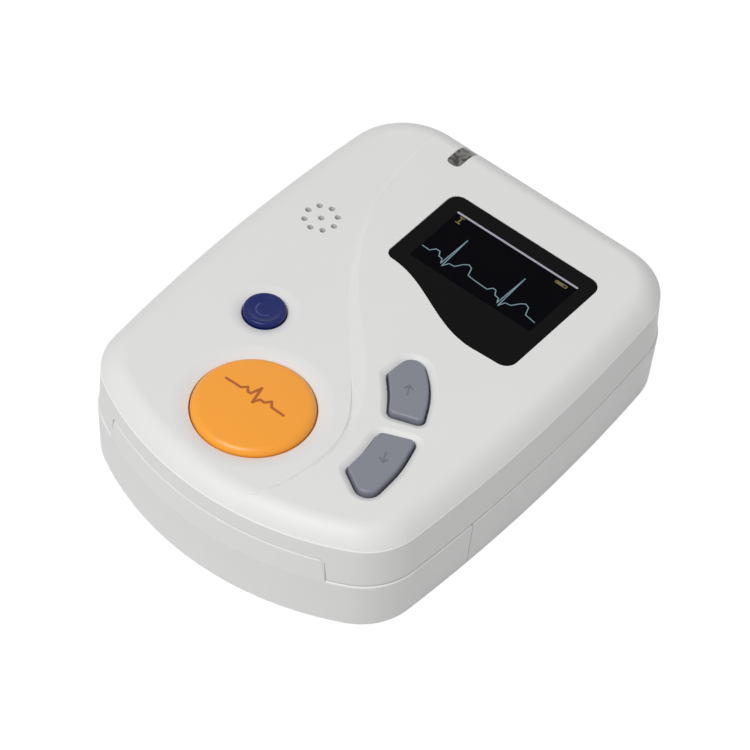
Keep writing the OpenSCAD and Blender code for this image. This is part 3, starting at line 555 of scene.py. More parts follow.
def step_line(share, off):
    """Line along the deck's step: share of its slanted face out from the upper edge, then off further."""
    line = []
    for k, curve in enumerate(STEP_CURVES):
        for i in range(17 if k == 2 else 16):
            t = i / 16
            u = k + t
            way = bezier_heading(curve, t).normalized()
            out = share * step_width(u) + off
            line.append(tuple(bezier(curve, t) + out * Vector((way.y, -way.x))))
    back, front = line[0], line[-1]
    return [(back[0], HALF_L + 6)] + line + [(front[0] - 3.5, -HALF_L - 6)]


def left_of_step():
    """Tool that lowers the left deck, with rounded edges above and below the slanted face."""
    rows = [
        (1, 0.35, EDGE_Z + 0.35), (1, 0.35, DECK_Z - 0.06), (1, 0.16, DECK_Z), (1, -0.04, DECK_Z + 0.05),
        (0, 0.04, TOP_Z - 0.05), (0, -0.14, TOP_Z), (0, -0.4, TOP_Z + 0.03), (0, -0.4, TOP_Z + 3),
    ]
    far = [(-HALF_W - 6, -HALF_L - 6), (-HALF_W - 6, HALF_L + 6)]
    return stack("left_tool", [level(step_line(share, off) + far, z) for share, off, z in rows])


def crease():
    """Tool for the narrow groove at the foot of the step, from its middle to the front end."""
    loops = []
    for k, curve in enumerate(STEP_CURVES[1:]):
        for i in range(17):
            t = i / 16
            u = 1 + k + t
            if u < 1.3 or (k and not i):
                continue
            depth = 0.36 * min(1, (u - 1.25) / 0.3, max(0.2, (2.95 - u) / 0.2))
            way = bezier_heading(curve, t).normalized()
            side = Vector((way.y, -way.x))
            middle = bezier(curve, t) + (step_width(u) + 0.26) * side
            left, right = middle + 0.36 * side, middle - 0.24 * side
            loops.append([(*right, DECK_Z + 0.06), (*middle, DECK_Z - depth), (*left, DECK_Z + 0.06)])
    return stack("crease_tool", loops)


def dish(centre, hole_r, dish_r, depth, deck_z):
    """Tool for a round hole in the middle of a shallow dish that runs out softly into the deck."""
    foot = deck_z - depth
    profile = [(hole_r, DECK_IN_Z - 1), (hole_r, foot - 0.12), (hole_r + 0.05, foot - 0.03)]
    profile += [(hole_r + 0.15, foot + 0.03)]
    span = dish_r - hole_r - 0.15
    for i in range(1, 9):
        s = i / 8
        profile.append((hole_r + 0.15 + span * s, deck_z + 0.01 - depth * (1 - s) ** 1.7 * (1 - 0.05 * s)))
    profile.append((dish_r + 0.5, deck_z + 3))
    return turned("dish_tool", centre, profile, 96)


UP_KEY = filleted([
    (10.1, -8.0, 0.7), (10.6, 1.45, 2.9), (19.6, -5.6, 22), (24.0, -13.6, 1.2), (17.0, -16.2, 1.4),
    (13.9, -12.0, 24),
])
DOWN_KEY = filleted([
    (18.9, -21.35, 1.5), (26.0, -18.2, 1.0), (28.3, -26.0, 30), (28.75, -38.0, 2.6), (20.05, -33.0, 1.1),
    (20.05, -27.8, 24),
])


def key_hole(points):
    """Tool for a key's hole in its dish, which is deeper towards the hole."""
    rows = [(KEY_GAP, DECK_IN_Z - 1), (KEY_GAP, TOP_Z - 0.86), (KEY_GAP + 0.04, TOP_Z - 0.78)]
    for s in (0, 0.12, 0.25, 0.38, 0.52, 0.68, 0.84, 1):
        rows.append((KEY_GAP + 0.12 + 1.5 * s, TOP_Z + 0.01 - 0.74 * (1 - s) ** 1.45))
    rows.append((KEY_GAP + 1.8, TOP_Z + 3))
    return stack("key_tool", [level(grown(points, by), z) for by, z in rows])


def window_outline():
    left, right, top = -11.5, 27.8, 40.5
    low, high = 8.8, 17.05
    sill = []
    for i in range(25):
        x = -9.8 + 27.8 * i / 24
        sill.append((x, low + (high - low) * (0.5 + 0.5 * math.cos(math.pi * i / 24)), 0))
    corners = [(left, top, 2.7), (left, high + 0.55, 1.9)] + sill
    corners += [(right, low + 0.5, 2.8), (right, top, 2.7)]
    return filleted(corners)


WINDOW = window_outline()
WINDOW_SEAT = 26.35
LIT_LOW = (-7.5, 20.3)
LIT_HIGH = (24.5, 36.7)
SPEAKER = (-28, 16.3)
LAMP_X = -17.2
LAMP_HALF = 1.7
LAMP_FRONT = 46.0
LAMP_LOW = 21.3
PLATE_Z = 13.6
PLATE_TOP = 14.8
BOARD_TOP = 20.2
POST_R = 2.8
BORE_R = 1.05
SHANK_R = 1.1
FAR = 60
LEAD = (20.0, 16.6)
DATA = (-3.0, 17.4)
REAR_POST = (32.1, 42.5)
FRONT_POST = (32.55, -38)
BOARD_POSTS = ((33.9, 1.98), (33.9, 31.0))


def data_loop(shrink, y):
    """Loop across the body round the data socket, with rounded corners."""
    wide, high, radius = 3.9 - shrink, 1.6 - shrink, 0.9 - shrink
    corners = [(-wide, -high, radius), (wide, -high, radius), (wide, high, radius), (-wide, high, radius)]
    points = filleted(corners, 5)
    return [(DATA[0] + x, y, DATA[1] + z) for x, z in points]


def window_hole():
    rows = [(0, WINDOW_SEAT), (0, TOP_Z - 0.1), (0.1, TOP_Z + 0.02), (0.1, TOP_Z + 3)]
    return stack("window_tool", [level(grown(WINDOW, by), z) for by, z in rows])


def sound_holes():
    centres = [SPEAKER] + [spot(SPEAKER, 3.5, 45 * i) for i in range(8)]
    profile = [(0.67, DECK_IN_Z - 1), (0.67, DECK_Z - 0.12), (0.79, DECK_Z), (0.9, DECK_Z + 1)]
    return joined([turned("sound_tool", c, profile, 20) for c in centres])


def lamp_prism(shrink, low):
    """Straight-sided tool round the indicator window, with a round front end."""
    half = LAMP_HALF - shrink
    corners = [(LAMP_X - half, HALF_L + 3, 0), (LAMP_X + half, HALF_L + 3, 0)]
    corners += [(LAMP_X + half, LAMP_FRONT + shrink, 1.25), (LAMP_X - half, LAMP_FRONT + shrink, 1.25)]
    points = filleted(corners)
    return stack("lamp_tool", [level(points, low), level(points, TOP_Z + 3)])


def lip_tool(grow, foot, top, ease):
    """Tool round the cover's lip: sides that lean out downwards, rounded at the top and at the foot."""
    loops = []
    rows = ((0.3, -11), (0.3, -0.02), (0.12, 0.05), (0.03, 0.15), (0, 0.33), (0, 8))
    for shrink, y in rows:
        low, high = LIP_X + 0.35 + grow - ease * shrink, LIP_X - 0.35 + grow - ease * shrink
        half = [(low + 3, foot - 3, 0), (low + 3, foot, 0), (low, foot, 0.7), (high, top, 1.0 + grow)]
        profile = filleted(half + [(-x, z, radius) for x, z, radius in reversed(half)])
        loops.append([(x, LIP_Y + y + 0.04 * (z - SEAM_Z), z) for x, z in profile])
    return stack("lip_tool", loops)


def both_sides(make, place):
    """What make builds at a place and at its mirror place across the body."""
    return [make(place), make((-place[0], place[1]))]


def upper_casing():
    high = casing_top("upper_casing", TOP_Z)
    cut(high, left_of_step())
    shell = add(high, casing_top("low_deck", DECK_Z))
    cut(shell, crease())
    inner = [(WALL - FLARE, SEAM_Z - 1), (WALL, EDGE_Z - 1), (BAND_W + 1, DECK_IN_Z)]
    cut(shell, stack("inside_tool", [level(outline(inset), z) for inset, z in inner]))
    for post in [REAR_POST, FRONT_POST, *BOARD_POSTS]:
        low = {REAR_POST: SEAM_Z, FRONT_POST: PLATE_TOP}.get(post, BOARD_TOP)
        profile = [(POST_R, low), (POST_R, DECK_IN_Z + 0.3)]
        add(shell, *both_sides(lambda c: turned("post", c, profile, 32), post))
        bore = [(BORE_R, low - 1), (BORE_R, low + 4)]
        cut(shell, *both_sides(lambda c: turned("post_tool", c, bore, 24), post))
    ring = turned("speaker_ring", SPEAKER, [(8.6, 23.3), (8.6, DECK_IN_Z + 0.3)], 48)
    cut(ring, turned("ring_tool", SPEAKER, [(7.6, 22), (7.6, 30)], 48))
    add(shell, ring)
    cut(shell, lip_tool(SEAM_GAP / 2, SEAM_Z + SEAM_GAP / 2 - 0.02, LIP_Z + SEAM_GAP / 2, -0.5))
    cut(shell, dish(EVENT, EVENT_R + GAP, 16.9, 0.72, DECK_Z))
    cut(shell, dish(POWER, POWER_R + GAP, 7.6, 0.62, DECK_Z))
    cut(shell, key_hole(UP_KEY), key_hole(DOWN_KEY), window_hole(), sound_holes())
    cut(shell, box("view_tool", (LIT_LOW[0] - 1, LIT_LOW[1] - 1, 24), (LIT_HIGH[0] + 1, LIT_HIGH[1] + 1, 27)))
    cut(shell, lamp_prism(0, LAMP_LOW))
    cut(shell, turned_across("lead_tool", LEAD, [(2.85, 50), (2.85, 54.9), (3.15, 55.2), (3.15, 58)], 1))
    rows = [(0.25, 50), (0.25, 54.7), (0.75, 55.2), (0.75, 58)]
    cut(shell, stack("data_tool", [data_loop(-by, y) for by, y in rows]))
    dress(shell, "casing", casing_white, "casing_white", "upper_shell")


upper_casing()


# ---- Lower casing and battery cover ----------------------------------------------------------

TRAY_X = 28.95
BAY_X = 27.75
TRAY_Y = COVER_Y + SEAM_GAP
TRAY_BACK = TRAY_Y + 1.2
TRAY_LOW = 2.3
TRAY_INSET = 2.85
TRAY_TOP = 18.2
BAY_TOP = 17.0
RAIL_X = 37.51
RAIL_Z = 10.2
RAIL_Y = -32.35
RAIL_END = RAIL_Y + 13.5


def rounded_top(top):
    """Rings of a wall's rounded upper edge."""
    top -= SEAM_GAP / 2
    rows = ((0.01, 0.42), (0.04, 0.26), (0.13, 0.13), (0.27, 0.04), (0.45, 0))
    return [(wall_inset(top) + inset, top - drop) for inset, drop in rows]


def walls(name, rings):
    return stack(name, [level(outline(inset), z) for inset, z in rings])


def pan(name):
    """Solid from the base to the seam, with a rounded foot, hollowed out."""
    base = wall_inset(0)
    rings = []
    for i in range(6):
        a = math.radians(90 * i / 5)
        rings.append((base + FOOT * (1 - math.sin(a)), FOOT * (1 - math.cos(a))))
    inside = [(base + WALL + 0.5, FLOOR_T), (base + WALL, FLOOR_T + 0.5), (WALL - FLARE, SEAM_Z + 1)]
    return cut(walls(name, rings + rounded_top(SEAM_Z)), walls("inside_tool", inside))


def lip():
    """The raised part of the cover's front wall, which grows out of the wall below the seam."""
    root = SEAM_Z - SEAM_GAP / 2 - 0.42
    rings = [(wall_inset(root) + 0.06, root - 0.4), (wall_inset(root) - 0.001, root)]
    rings += [(wall_inset(SEAM_Z) + 0.004, SEAM_Z)]
    back = WALL - FLARE - 0.03
    inside = [(back, root - 1), (back, SEAM_Z), (WALL, EDGE_Z)]
    hollow = cut(walls("lip", rings + rounded_top(LIP_Z)), walls("inside_tool", inside))
    return combine(hollow, lip_tool(0, root + 0.06, LIP_Z - SEAM_GAP / 2, 1), "INTERSECT")


def slab(inset, low, high):
    points = outline(inset)
    return stack("slab", [level(points, low), level(points, high)])


def within(piece, other):
    return combine(piece, other, "INTERSECT")


def across(name, start, end, low, high, half=FAR):
    """Box across the body, from one y to another."""
    return box(name, (-half, start, low), (half, end, high))


def railed(name, side, near, far, low, high):
    """Box as long as the cover's rails, on one side of the body."""
    ends = sorted((side * near, side * far))
    return box(name, (ends[0], RAIL_Y, low), (ends[1], RAIL_END, high))


def lower_casing():
    shell = pan("lower_casing")
    cut(shell, across("front_tool", -FAR, TRAY_Y, -5, 20))
    tray_room = across("tray", -FAR, TRAY_BACK, TRAY_LOW, 30, TRAY_X)
    tray = within(slab(TRAY_INSET, FLOOR_T, TRAY_TOP), tray_room)
    cut(tray, across("bay_tool", -FAR, TRAY_Y, 0, BAY_TOP, BAY_X))
    low_wall = within(slab(1.35, FLOOR_T - 0.2, SEAM_Z - 0.2), across("bulkhead", TRAY_Y, TRAY_BACK, 0, 20))
    high_wall = within(slab(TRAY_INSET, FLOOR_T, PLATE_TOP), across("bulkhead", TRAY_Y, TRAY_BACK, 0, 20))
    plates = within(slab(TRAY_INSET, PLATE_Z, PLATE_TOP), across("plates", -FAR, TRAY_BACK, 0, 20))
    cut(plates, across("bay_tool", -FAR, TRAY_Y, 0, BAY_TOP, BAY_X))
    add(shell, tray, low_wall, high_wall, plates)
    for side in (-1, 1):
        add(shell, railed("web", side, RAIL_X - 2.4, RAIL_X - 1.2, RAIL_Z, PLATE_Z + 0.2))
        add(shell, railed("rail", side, RAIL_X - 2.4, RAIL_X, RAIL_Z, RAIL_Z + 1.2))
    add(shell, *both_sides(lambda c: turned("post", c, [(POST_R, 1.5), (POST_R, SEAM_Z)], 32), REAR_POST))
    well = [(2.5, -1), (2.42, 0.0), (2.25, 0.2), (2.25, 3.4)]
    shank, short_shank = [(SHANK_R, 3), (SHANK_R, 16)], [(SHANK_R, 13), (SHANK_R, 16)]
    cut(shell, *both_sides(lambda c: turned("well_tool", c, well, 40), REAR_POST))
    cut(shell, *both_sides(lambda c: turned("shank_tool", c, shank, 24), REAR_POST))
    cut(shell, *both_sides(lambda c: turned("shank_tool", c, short_shank, 24), FRONT_POST))
    cut(shell, box("ledge_tool", (-8.2, TRAY_Y - 1, 0.9), (8.2, COVER_Y + 2.8, 2.2)))
    dress(shell, "casing", casing_white, "casing_white", "lower_shell")


def cover():
    shell = pan("sliding_cover")
    cut(shell, across("rear_tool", COVER_Y, FAR, -5, 20))
    add(shell, lip())
    for side in (-1, 1):
        add(shell, within(slab(1.0, 11.6, 12.6), railed("rib", side, RAIL_X - 1.0, 50, 0, 20)))
    add(shell, box("tab", (-8, COVER_Y - 2, 1), (8, COVER_Y + 2.6, 2)))
    groove = [(0.02, -27.5), (0.5, -27), (0.5, 27), (0.02, 27.5)]
    for i in range(5):
        cut(shell, turned_across("grip_tool", (-44.1 + 2.4 * i, 0), groove, 0, 16))
    dress(shell, "battery_cover", casing_white, "casing_white", "battery_cover")


lower_casing()
cover()


# ---- Buttons and keys ------------------------------------------------------------------------


EVENT_ROUND = 1.7
CROWN_R = EVENT_R - EVENT_ROUND
CROWN_TOP = EVENT_TOP - 0.04
CROWN_DROP = 0.4
POWER_HOLLOW = 27.34


def event_crown(r):
    """Height of the event button's top at radius r."""
    return CROWN_TOP - CROWN_DROP * (r / CROWN_R) ** 2


def event_button():
    shoulder = CROWN_TOP - CROWN_DROP - EVENT_ROUND
    profile = [
        (2.6, REST_Z), (2.6, EVENT_TOP - 1.6), (EVENT_R - 1.6, EVENT_TOP - 2), (EVENT_R - 1.2, FLANGE_Z),
        (EVENT_R + 1, FLANGE_Z), (EVENT_R + 1, FLANGE_TOP), (EVENT_R, FLANGE_TOP),
    ]
    for degrees in range(0, 85, 12):
        a = math.radians(degrees)
        profile.append((CROWN_R + EVENT_ROUND * math.cos(a), shoulder + EVENT_ROUND * math.sin(a)))
    for share in (0.985, 0.93, 0.85, 0.72, 0.56, 0.38, 0.2, 0.06):
        profile.append((CROWN_R * share, event_crown(CROWN_R * share)))
    cap = turned("event_cap", EVENT, profile, 96)
    dress(cap, "event_button", orange, "button_orange", "event_button")


def power_button():
    profile = [(2.0, REST_Z), (2.0, FLANGE_Z), (POWER_R + 1, FLANGE_Z), (POWER_R + 1, FLANGE_TOP)]
    profile.append((POWER_R, FLANGE_TOP))
    rim = [
        (0, 27.22), (0.07, 27.43), (0.25, 27.61), (0.5, 27.69), (0.8, 27.7), (1.05, 27.64), (1.3, 27.5),
        (1.6, 27.4), (2.4, 27.35), (3.4, POWER_HOLLOW),
    ]
    profile += [(POWER_R - inward, z) for inward, z in rim]
    profile.append((0.4, POWER_HOLLOW))
    cap = turned("power_cap", POWER, profile, 72)
    dress(cap, "power_button", blue, "button_blue", "power_button")


def arrow_key(name, body, points):
    rows = [(1, FLANGE_Z), (1, FLANGE_TOP), (-0.08, FLANGE_TOP), (-0.08, 27.5), (-0.12, 27.72), (-0.22, 27.9)]
    rows += [(-0.34, 28.02), (-0.55, KEY_TOP)]
    key = stack(name, [level(grown(points, by), z) for by, z in rows])
    dress(key, body, key_grey, "key_grey", name.replace("_cap", ""))


event_button()
power_button()
arrow_key("up_key_cap", "up_key", UP_KEY)
arrow_key("down_key_cap", "down_key", DOWN_KEY)


# ---- Lines and marks -------------------------------------------------------------------------


ROOT = 0.08
MARK_LIFT = 0.03
MARK_W = 0.36


def bar(start, end, width, z_start, z_end, lift):
    """Flat strip with round ends that stands lift above the surface between two points."""
    along = heading(start, end)
    half = width / 2
    points = arc(end, half, along - 90, along + 90, 5) + arc(start, half, along + 90, along + 270, 5)
    top = [(p[0], p[1], z_end) for p in points[:6]] + [(p[0], p[1], z_start) for p in points[6:]]
    low = [(x, y, z - ROOT) for x, y, z in top]
    return stack("bar", [low, [(x, y, z + lift) for x, y, z in top]])


def strip(name, points, width, height, lift, body, material):
    """Line through points on a surface whose height is given by a function."""
    bars = [bar(a, b, width, height(a), height(b), lift) for a, b in zip(points, points[1:])]
    piece = joined(bars)
    piece.name = piece.data.name = name
    piece.scale = (MM, MM, MM)
    pick(piece)
    bpy.ops.object.transform_apply(location=True, rotation=True, scale=True)
    piece.data.materials.clear()
    piece.data.materials.append(material)
    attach(piece, body)


def split(points, step):
    """The same line with no stretch longer than step."""
    out = [points[0]]
    for a, b in zip(points, points[1:]):
        parts = max(1, math.ceil(math.dist(a, b) / step))
        for i in range(1, parts + 1):
            out.append((a[0] + (b[0] - a[0]) * i / parts, a[1] + (b[1] - a[1]) * i / parts))
    return out


def on_crown(point):
    return event_crown(math.dist(point, EVENT))


PULSE = [
    (-7.6, 0), (-3.6, 0), (-2.7, 1.0), (-1.8, 0), (-1.1, 0), (-0.3, 2.6), (0.7, -1.6), (1.4, 0), (2.6, 0),
    (3.5, 1.2), (4.5, 0), (7.6, 0),
]
PULSE_AT = (-5.7, -31.3)
pulse = split([(PULSE_AT[0] + x, PULSE_AT[1] + y) for x, y in PULSE], 2)
strip("event_mark", pulse, 0.62, on_crown, MARK_LIFT, "event_button", ink_brown)


def ribbon(name, points, z, body, material, slot):
    """Flat line of one width on a level surface, in one piece."""
    sides = ([], [])
    for i, point in enumerate(points):
        here = Vector(point)
        before = (here - Vector(points[i - 1])).normalized() if i else None
        after = (Vector(points[i + 1]) - here).normalized() if i + 1 < len(points) else None
        way = ((before or after) + (after or before)).normalized()
        reach = MARK_W / 2 / way.dot(before or after)
        for side, sign in zip(sides, (1, -1)):
            side.append(here + sign * reach * Vector((-way.y, way.x)))
    edge = [tuple(p) for p in sides[0] + sides[1][::-1]]
    dress(stack(name, [level(edge, z - ROOT), level(edge, z + MARK_LIFT)]), body, material, slot)


def arrow(name, centre, degrees, body):
    """Thin arrow on a key: a bent line for its head, and its stem."""
    ahead, aside = spot((0, 0), 1, degrees), spot((0, 0), 1, degrees + 90)

    def at(along, sideways):
        return tuple(centre[k] + along * ahead[k] + sideways * aside[k] for k in (0, 1))

    head, stem = [at(0.3, 0.9), at(1.3, 0), at(0.3, -0.9)], [at(-1.4, 0), at(0.9, 0)]
    ribbon(name + "_head", head, KEY_TOP, body, key_mark, "key_grey")
    ribbon(name + "_stem", stem, KEY_TOP, body, key_mark, "key_grey")


power_arc = arc(POWER, 1.8, 160, 345, 14)
ribbon("power_arc", power_arc, POWER_HOLLOW + 0.005, "power_button", arc_blue, "button_blue")
arrow("up_arrow", (16.4, -9.1), 119, "up_key")
arrow("down_arrow", (24.2, -26.2), -64, "down_key")


# ---- Window and display ----------------------------------------------------------------------

window_rows = [(-0.12, WINDOW_SEAT + 0.15), (-0.12, TOP_Z - 0.1), (-0.2, TOP_Z - 0.02), (-0.4, TOP_Z)]
dress(stack("lens", [level(grown(WINDOW, by), z) for by, z in window_rows]), "casing", window_black,
      "window_black", "window")

GLASS_Z = TOP_Z + 0.004
lit_area = box("lit_area", (*LIT_LOW, TOP_Z - 0.05), (*LIT_HIGH, GLASS_Z))
dress(lit_area, "casing", lit_black, "display_glass")


def lit_line(name, points, width, material):
    """Bright line on the display."""
    strip(name, points, width, lambda point: GLASS_Z, 0.01, "casing", material)


TRACE = [
    (-7.1, 24.1), (-5.2, 24.0), (-4.3, 25.2), (-3.3, 25.2), (-2.6, 24.0), (-1.7, 23.9), (-1.1, 22.7),
    (-0.9, 31.4), (-0.5, 22.3), (0.3, 23.8), (1.6, 23.9), (2.7, 25.6), (3.6, 26.3), (4.6, 25.9), (5.3, 23.9),
    (6.6, 23.7), (10.6, 23.5), (11.4, 24.6), (12.2, 24.5), (12.9, 23.3), (13.9, 23.2), (14.5, 22.0),
    (14.7, 31.1), (15.1, 21.5), (15.8, 23.1), (17.1, 23.3), (18.3, 25.0), (19.2, 25.7), (20.2, 25.3),
    (21.0, 23.3), (23.7, 22.9),
]
LEAD_MARK = [(-6.2, 35.6), (-5.2, 35.6), (-5.7, 35.6), (-5.7, 33.9), (-6.2, 33.9), (-5.2, 33.9)]
CHARGE_MARK = [(19.8, 35.2), (19.8, 34.6), (22.6, 34.6), (22.6, 35.2), (19.8, 35.2)]
lit_line("heart_trace", TRACE, 0.23, trace_blue)
lit_line("status_line", [(-7.4, 36.3), (24.3, 36.3)], 0.5, status_grey)
lit_line("lead_mark", LEAD_MARK, 0.3, mark_yellow)
lit_line("charge_mark", CHARGE_MARK, 0.2, mark_yellow)
lit_line("charge_level", [(20.2, 34.9), (21.6, 34.9)], 0.3, mark_yellow)

lamp_cover = within(casing_top("lamp_cover", TOP_Z - 0.02, grow=-0.04), lamp_prism(0.08, LAMP_LOW + 0.08))
cut(lamp_cover, across("leg_tool", 0, 49.58, 10, TOP_Z - 1.42))
dress(lamp_cover, "casing", indicator_smoke, "indicator_smoke", "indicator_window")


# ---- Cells, screws and sockets ---------------------------------------------------------------


def cell(name, y, way, node):
    """Cell along X with its raised terminal towards way."""
    tip = BAY_X - 1.0
    rows = [
        (2.2, 0), (2.7, 0.2), (2.75, 1.25), (6.6, 1.3), (7.0, 1.5), (7.2, 1.9), (7.25, 2.6), (7.25, 49.4),
        (7.15, 49.9), (6.9, 50.2), (5.2, 50.3), (5.0, 50.5), (2.0, 50.5),
    ]
    profile = [(radius, way * (tip - back)) for radius, back in rows]
    dress(turned_across(name, (y, 9.55), profile, 0, 64), "casing", cell_jacket, "cell_jacket", node)


def jacket():
    """Printed sleeve with a pale band, bare metal at both ends."""
    material, n, link, shader = new_material("cell_jacket")
    place = n.new("ShaderNodeTexCoord")
    parts = n.new("ShaderNodeSeparateXYZ")
    size = n.new("ShaderNodeMath")
    size.operation = "ABSOLUTE"
    ends = n.new("ShaderNodeMath")
    ends.operation = "GREATER_THAN"
    ends.inputs[1].default_value = 22.6 * MM
    ramp = n.new("ShaderNodeValToRGB")
    ramp.color_ramp.interpolation = "CONSTANT"
    ramp.color_ramp.elements[0].color = linear(48, 58, 74)
    ramp.color_ramp.elements[1].position = 0.52
    ramp.color_ramp.elements[1].color = linear(196, 200, 204)
    place_on = n.new("ShaderNodeMapRange")
    place_on.inputs["From Min"].default_value = 0
    place_on.inputs["From Max"].default_value = 26 * MM
    colour = n.new("ShaderNodeMix")
    colour.data_type = "RGBA"
    colour.inputs["B"].default_value = linear(205, 205, 208)
    link(place.outputs["Object"], parts.inputs["Vector"])
    link(parts.outputs["X"], size.inputs[0])
    link(size.outputs["Value"], ends.inputs[0])
    link(size.outputs["Value"], place_on.inputs["Value"])
    link(place_on.outputs["Result"], ramp.inputs["Fac"])
    link(ramp.outputs["Color"], colour.inputs["A"])
    link(ends.outputs["Value"], colour.inputs["Factor"])
    link(colour.outputs["Result"], shader.inputs["Base Color"])
    link(ends.outputs["Value"], shader.inputs["Metallic"])
    shader.inputs["Roughness"].default_value = 0.3
    return material


cell_jacket = jacket()
cell("front_sleeve", -40.1, 1, "front_cell")
cell("rear_sleeve", -25.2, -1, "rear_cell")


def screw(centre, z, length):
    """Case screw with its domed head down and a cross recess."""
    shank, head, height = 1.0, 2.0, 1.4
    profile = [
        (head * 0.45, z - height), (head * 0.75, z - height + 0.08), (head * 0.93, z - height + 0.3),
        (head, z - height * 0.5), (head, z), (shank, z), (shank, z + length - 0.6), (shank * 0.4, z + length),
    ]
    piece = turned("screw", centre, profile, 32)
    for wide, deep in ((head * 0.15, head * 0.62), (head * 0.62, head * 0.15)):
        low = (centre[0] - wide, centre[1] - deep, z - height - 1)
        cut(piece, box("cross_tool", low, (centre[0] + wide, centre[1] + deep, z - height * 0.5)))
    return piece


case_screws = both_sides(lambda c: screw(c, 3.39, 16.8), REAR_POST)
case_screws += both_sides(lambda c: screw(c, PLATE_Z, 8.2), FRONT_POST)
fasteners = joined(case_screws)
fasteners.name = fasteners.data.name = "case_fasteners"
dress(fasteners, "casing", steel, "screw_steel", "case_screws")


def lead_socket():
    face = HALF_L
    x, z = LEAD
    body = soft_box("lead_jack", (x - 4.5, 40.5, z - 2.4), (x + 4.5, 52.75, z + 2.4), 0.2)
    add(body, turned_across("collar", LEAD, [(2.6, 50), (2.6, face - 0.2), (2.4, face), (0.5, face)], 1))
    bore = [(0.3, face - 13), (1.8, face - 12.9), (1.8, face - 0.3), (2.1, face + 0.02), (2.1, face + 1)]
    cut(body, turned_across("bore_tool", LEAD, bore, 1))
    dress(body, "casing", dark_plastic, "carrier_black", "lead_socket")


lead_socket()


def data_socket():
    """Drawn metal shell with rounded corners round a thin tongue."""
    face, rear = 53.05, 45.65
    shell = stack("data_shell", [data_loop(0, rear), data_loop(0, face - 0.1), data_loop(0.1, face)])
    cut(shell, stack("data_tool", [data_loop(0.4, rear + 1), data_loop(0.4, face + 1)]))
    x, z = DATA
    add(shell, soft_box("tongue", (x - 2.3, rear + 0.9, z - 0.3), (x + 2.3, face - 1, z + 0.3), 0.08))
    dress(shell, "casing", sheet_metal, "sheet_metal", "data_socket")


data_socket()


# ---- Pieces that keep their CAD shape --------------------------------------------------------

KEPT = {
    "event_plunger": dark_plastic, "power_plunger": dark_plastic, "up_plunger": dark_plastic,
    "down_plunger": dark_plastic, "event_switch": sheet_metal, "power_switch": sheet_metal,
    "up_switch": sheet_metal, "down_switch": sheet_metal, "window_tape": foam, "display_foam": foam,
    "display_glass": lit_black, "display_carrier": dark_plastic, "display_ribbon": amber,
    "main_board": board_green, "board_screws": steel, "processor": dark_plastic, "signal_shield": sheet_metal,
    "speaker": dark_plastic, "speaker_mesh": mesh_grey, "indicator_lamp": lamp_white,
    "positive_contact": contact_metal, "negative_contact": contact_metal, "bridge_contact": contact_metal,
}
for name, material in KEPT.items():
    for material_slot in nodes[name].material_slots:
        material_slot.material = material


# ---- Floor, light and camera -----------------------------------------------------------------


def seen_share(n, link):
    """1 for what the camera sees, directly, in a reflection or through a clear piece, and 0 for the rest."""
    rays = n.new("ShaderNodeLightPath")
    seen = n.new("ShaderNodeMath")
    seen_through = n.new("ShaderNodeMath")
    seen.operation = seen_through.operation = "MAXIMUM"
    link(rays.outputs["Is Camera Ray"], seen.inputs[0])
    link(rays.outputs["Is Glossy Ray"], seen.inputs[1])
    link(seen.outputs["Value"], seen_through.inputs[0])
    link(rays.outputs["Is Transmission Ray"], seen_through.inputs[1])
    return seen_through.outputs["Value"]


def floor():
    deselect()
    bpy.ops.mesh.primitive_plane_add(size=6, location=(0, 0, -0.00004))
    plane = named("floor")
    material, n, link, shader = new_material("floor_white")
    shader.inputs["Base Color"].default_value = (0.66, 0.66, 0.66, 1)
    shader.inputs["Roughness"].default_value = 0.9
    shader.inputs["Specular IOR Level"].default_value = 0
    glow = n.new("ShaderNodeEmission")
    glow.inputs["Color"].default_value = (1, 1, 1, 1)
    glow.inputs["Strength"].default_value = 1.06
    share = n.new("ShaderNodeMath")
    share.operation = "MULTIPLY"
    share.inputs[1].default_value = 0.92
    mix = n.new("ShaderNodeMixShader")
    link(seen_share(n, link), share.inputs[0])
    link(share.outputs["Value"], mix.inputs["Fac"])
    link(shader.outputs["BSDF"], mix.inputs[1])
    link(glow.outputs["Emission"], mix.inputs[2])
    link(mix.outputs["Shader"], n["Material Output"].inputs["Surface"])
    plane.data.materials.append(material)


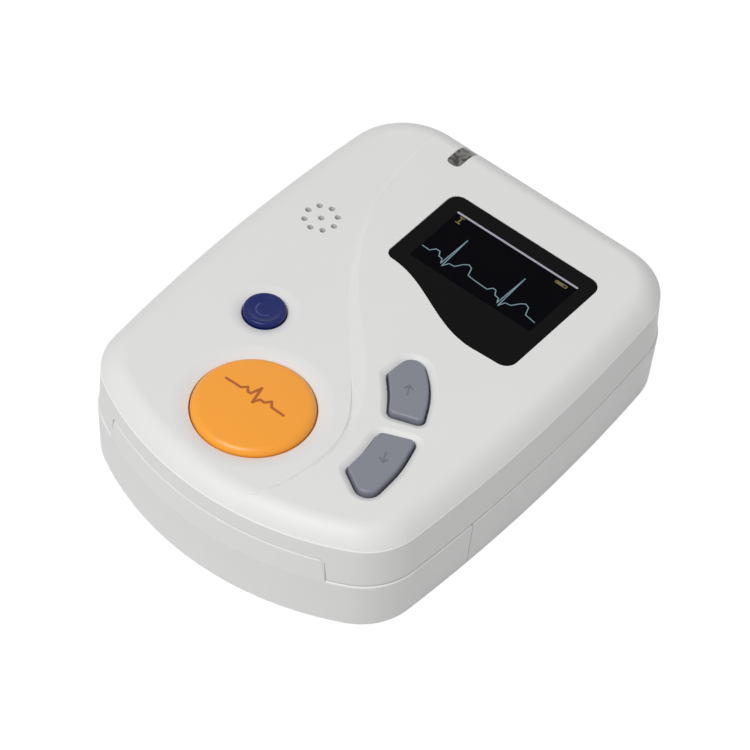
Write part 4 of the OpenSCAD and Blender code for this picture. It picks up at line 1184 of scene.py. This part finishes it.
def sky():
    """White to the camera and in reflections, and a plain level of light for everything else."""
    world = bpy.data.worlds.new("studio")
    bpy.context.scene.world = world
    world.use_nodes = True
    n, link = world.node_tree.nodes, world.node_tree.links.new
    strength = n.new("ShaderNodeMapRange")
    strength.inputs["To Min"].default_value = 0.4
    strength.inputs["To Max"].default_value = 1
    link(seen_share(n, link), strength.inputs["Value"])
    link(strength.outputs["Result"], n["Background"].inputs["Strength"])
    n["Background"].inputs["Color"].default_value = (1, 1, 1, 1)


def key_light():
    """Large soft lamp high in front of the object."""
    way = Vector((-0.02, -0.54, 0.842)).normalized()
    deselect()
    bpy.ops.object.light_add(type="AREA", location=way * 1.6)
    lamp = bpy.context.object
    lamp.name = lamp.data.name = "key_light"
    lamp.data.shape = "SQUARE"
    lamp.data.size = 0.9
    lamp.data.energy = 15.4
    lamp.rotation_euler = way.to_track_quat("Z", "Y").to_euler()


PICTURE_PX = 750
FOCAL_PX = 5714.77
SENSOR_MM = 36
DISTANCE = 1.1632


def camera():
    azimuth, elevation, roll = (math.radians(a) for a in (36.56, 48.733, 4.145))
    flat = math.cos(elevation)
    back = Vector((math.sin(azimuth) * flat, -math.cos(azimuth) * flat, math.sin(elevation)))
    right = Vector((math.cos(azimuth), math.sin(azimuth), 0))
    up = back.cross(right)
    turned_right = math.cos(roll) * right + math.sin(roll) * up
    turned_up = -math.sin(roll) * right + math.cos(roll) * up
    view = bpy.data.cameras.new("view")
    view.lens = FOCAL_PX * SENSOR_MM / PICTURE_PX
    view.sensor_width = SENSOR_MM
    view.clip_start = 0.05
    eye = bpy.data.objects.new("view", view)
    bpy.context.scene.collection.objects.link(eye)
    target = Vector((8.45, -10.13, 27.5)) * MM
    axes = [(turned_right[k], turned_up[k], back[k]) for k in range(3)]
    place = target + back * DISTANCE
    eye.matrix_world = Matrix([(*axes[k], place[k]) for k in range(3)] + [(0, 0, 0, 1)])
    bpy.context.scene.camera = eye


floor()
sky()
key_light()
camera()
bpy.context.scene.view_settings.view_transform = "Standard"
